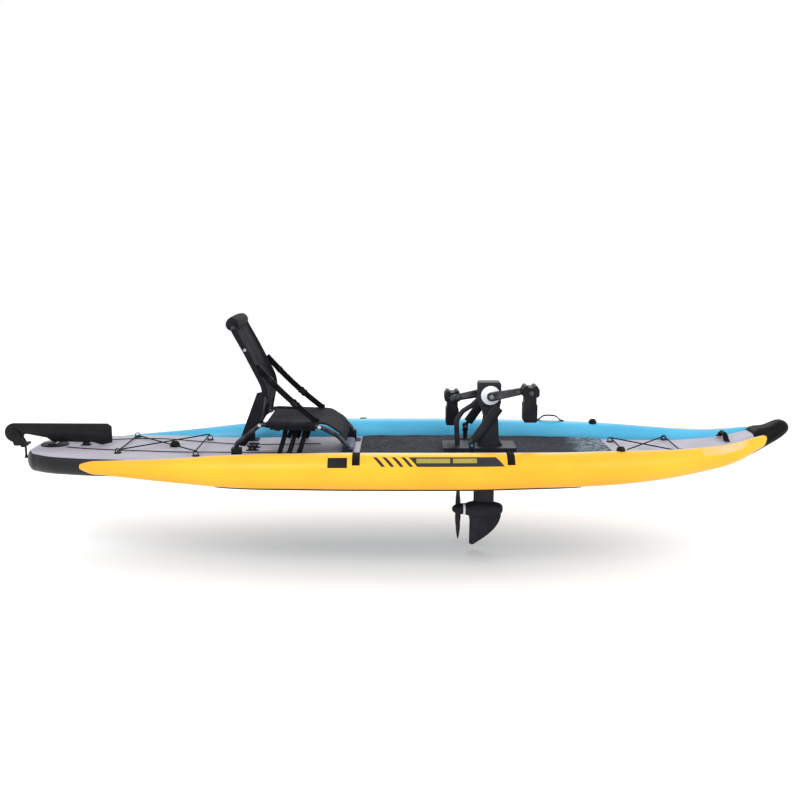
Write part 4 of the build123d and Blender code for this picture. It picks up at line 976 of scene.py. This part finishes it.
strap_low, strap_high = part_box("back_straps")
strap_y = tube_y + 0.002
strap_top = np.array([strap_low[0] + 0.004, 0, strap_high[2] - 0.008])
strap_end = np.array([strap_high[0] - 0.002, 0, strap_low[2] + 0.002])
for side, sign in sides:
    top, end = strap_top + (0, sign * strap_y, 0), strap_end + (0, sign * strap_y, 0)
    feet = [end + (0.007, 0, -0.0015), end + (0.015, 0, -0.0015)]
    route = np.concatenate([strap_at(top, end, np.linspace(0, 1, 9)[:, None]), feet])
    strap = add_piece(f"{side}_back_strap", carry(curve_through(route, 70), slab(0.0025, 0.025, 0.4)),
                      finish=webbing)
    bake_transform(strap, "seat_back", "hull", start=tuple(top), end=tuple(end))
    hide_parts("back_straps")
    direction = unit(end - top)
    for label, place, size in (("slide", 0.24, (0.016, 0.004, 0.031)),
                               ("buckle", 0.66, (0.036, 0.011, 0.034))):
        piece = buckle(f"{side}_strap_{label}", strap_at(top, end, place), direction, size)
        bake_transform(piece, "seat_back", "hull", start=tuple(top), end=tuple(end))

tie_low, tie_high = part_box("seat_ties")
tie_half, tie_lean = 0.011, 0.038   # half a tie's width, and how far its foot is behind its top
tie_places = tie_low[0] + tie_half + tie_lean + np.array([0, 0.045, 0.090])
for side, sign in sides:
    for number, place in enumerate(tie_places):
        top = np.array([place, sign * (-tie_low[1] - 0.060), tie_high[2]])
        foot = np.array([place - tie_lean, sign * (tie_high[1] - 0.001), tie_low[2] + 0.002])
        bow = np.array([0.004, sign * 0.006, 0])
        route = [top, top * 0.7 + foot * 0.3 + bow, top * 0.35 + foot * 0.65 + bow, foot]
        tie = ribbon(f"{side}_seat_tie_{number + 1}", route, 2 * tie_half, 0.0022, (0, sign, 0.4), 24)
        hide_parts("seat_ties")

stay_low, stay_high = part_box("rear_stays")
outer_foot, outer_head = (stay_low[0] + 0.002, stay_low[2] + 0.004), (pivot[0] - 0.012, stay_high[2] - 0.006)
inner_foot, inner_head = (stay_low[0] + 0.036, stay_low[2]), (pivot[0] + 0.014, stay_high[2])
rise = np.linspace(0, 1, 40)[:, None]
wide = np.linspace(0, 1, 14)
bulge = np.concatenate([0.030 * np.sin(rise * np.pi), 0 * rise], 1)
outer_side = outer_foot * (1 - rise) + outer_head * rise
inner_side = inner_foot * (1 - rise) + inner_head * rise + bulge
flat = outer_side[:, None] * (1 - wide[:, None]) + inner_side[:, None] * wide[:, None]
puff = 0.0012 * np.sin(wide * np.pi) * np.sin(rise * 9)
for side, sign in sides:
    y = sign * (stay_high[1] - 0.00125)
    sheet = np.stack([flat[..., 0], y + sign * puff, flat[..., 1]], -1)
    other = sheet - (0, sign * 0.0018, 0)
    gusset = add_piece(f"{side}_rear_gusset", np.concatenate([sheet, other[:, ::-1]], 1), finish=seat_cloth,
                       angle=60)
    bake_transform(gusset, "hull", "seat_back", start=(stay_low[0], y, stay_low[2]),
             end=(pivot[0], y, stay_high[2]))
    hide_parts("rear_stays")

# %% [markdown]
# Under the front of the seat hangs a small soft bag. It is a squashed rounded box: a section
# whose corners are rounded by a power law, swollen in the middle, with wrinkles at its ends.

# %% Bag under the seat
pocket_low, pocket_high = (np.array(corner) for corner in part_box("seat_pocket"))
pocket_middle, pocket_half = (pocket_low + pocket_high) / 2, (pocket_high - pocket_low) / 2
span = np.sin(np.linspace(-np.pi / 2, np.pi / 2, 80))[:, None]
turn = full_turn(56)
power = (np.abs(np.cos(turn)) ** 4 + np.abs(np.sin(turn)) ** 4) ** -0.25
fat = (1 - np.abs(span) ** 6) ** 0.4 * (1 - 0.05 * np.abs(np.sin(span * 7 + 2 * np.cos(turn))))
bag_points = np.stack([pocket_middle[0] + pocket_half[0] * fat * power * np.cos(turn),
                       np.broadcast_to(pocket_middle[1] + pocket_half[1] * span, fat.shape),
                       pocket_middle[2] + pocket_half[2] * fat * power * np.sin(turn)], -1)
bag_cloth = cloth_finish("bag_cloth", (0.10, 0.11, 0.17), (0.20, 0.21, 0.30), 260)
bag = add_piece("seat_bag", bag_points, body="hull", finish=bag_cloth, angle=75)
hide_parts("seat_pocket")

# %% [markdown]
# Cast and moulded parts never have knife edges. A copy of the frame's own piece is merged into
# clean faces, its sharp edges are bevelled by a millimetre or two, and it replaces the plain
# one: the size is the same, but every edge now catches a line of light.


# %% Soften the hard parts
def softened(node, width, finish):
    """A copy of a frame piece: doubles merged, flat faces joined, sharp edges bevelled."""
    source = nodes[node]
    work = bmesh.new()
    work.from_mesh(source.data)
    bmesh.ops.remove_doubles(work, verts=work.verts, dist=1e-5)
    bmesh.ops.dissolve_limit(work, angle_limit=np.radians(0.6), verts=work.verts, edges=work.edges)
    mesh = bpy.data.meshes.new(f"{node}_finished")
    work.to_mesh(mesh)
    work.free()
    piece = bpy.data.objects.new(f"{node}_finished", mesh)
    bpy.context.collection.objects.link(piece)
    bevel = piece.modifiers.new("edges", "BEVEL")
    bevel.width, bevel.segments = width, 2
    bevel.limit_method, bevel.angle_limit = "ANGLE", np.radians(32)
    bevel.use_clamp_overlap = True
    settle(piece)
    piece.data.shade_smooth()
    piece.data.set_sharp_from_angle(angle=np.radians(42))
    piece.data.materials.append(finish)
    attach(piece, body_of(source)[0])
    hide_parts(node)
    return piece


for node, width, finish in (("rudder_blade", 0.003, gloss_black), ("gearbox_housing", 0.0025, drive_plastic),
                            ("starboard_pedal", 0.0022, black_plastic), ("port_pedal", 0.0022, black_plastic),
                            ("seat_feet", 0.002, black_plastic), ("rudder_head", 0.0012, black_plastic),
                            ("gearbox_covers", 0.0015, white_cover), ("drive_skeg", 0.003, drive_plastic),
                            ("drive_well_frame", 0.002, black_plastic), ("crank_arms", 0.0018, crank_metal)):
    piece = softened(node, width, finish)
    print(piece.name, len(piece.data.polygons), "faces")

# %% Lights and floor
world = bpy.data.worlds.new("soft_room")
world.use_nodes = True
world.node_tree.nodes["Background"].inputs[0].default_value = (1, 1, 1, 1)
world.node_tree.nodes["Background"].inputs[1].default_value = 1.0
bpy.context.scene.world = world
bpy.context.scene.view_settings.view_transform = "Standard"


def area_light(name, place, size, power):
    """A round soft lamp that looks at the boat's middle."""
    data = bpy.data.lights.new(name, "AREA")
    data.shape, data.size, data.energy = "DISK", size, power
    lamp = bpy.data.objects.new(name, data)
    lamp.location = place
    lamp.rotation_euler = (Vector((0, 0, 0.1)) - Vector(place)).to_track_quat("-Z", "Y").to_euler()
    bpy.context.collection.objects.link(lamp)


area_light("key", (-2.2, -3.4, 3.6), 2.4, 90)
area_light("fill", (3.0, -2.6, 2.2), 2.6, 40)
area_light("rim", (0.5, 3.6, 2.8), 2.6, 60)

floor_mesh = bpy.data.meshes.new("pale_floor")
reach, level = 40.0, cad_box[0][2] - 0.02
corners = [(-reach, -reach, level), (reach, -reach, level), (reach, reach, level), (-reach, reach, level)]
floor_mesh.from_pydata(corners, [], [(0, 1, 2, 3)])
pale = Finish("pale_floor")
floor_mesh.materials.append(pale.done((1.0, 1.0, 1.0), 0.9))
floor = bpy.data.objects.new("pale_floor", floor_mesh)
bpy.context.collection.objects.link(floor)
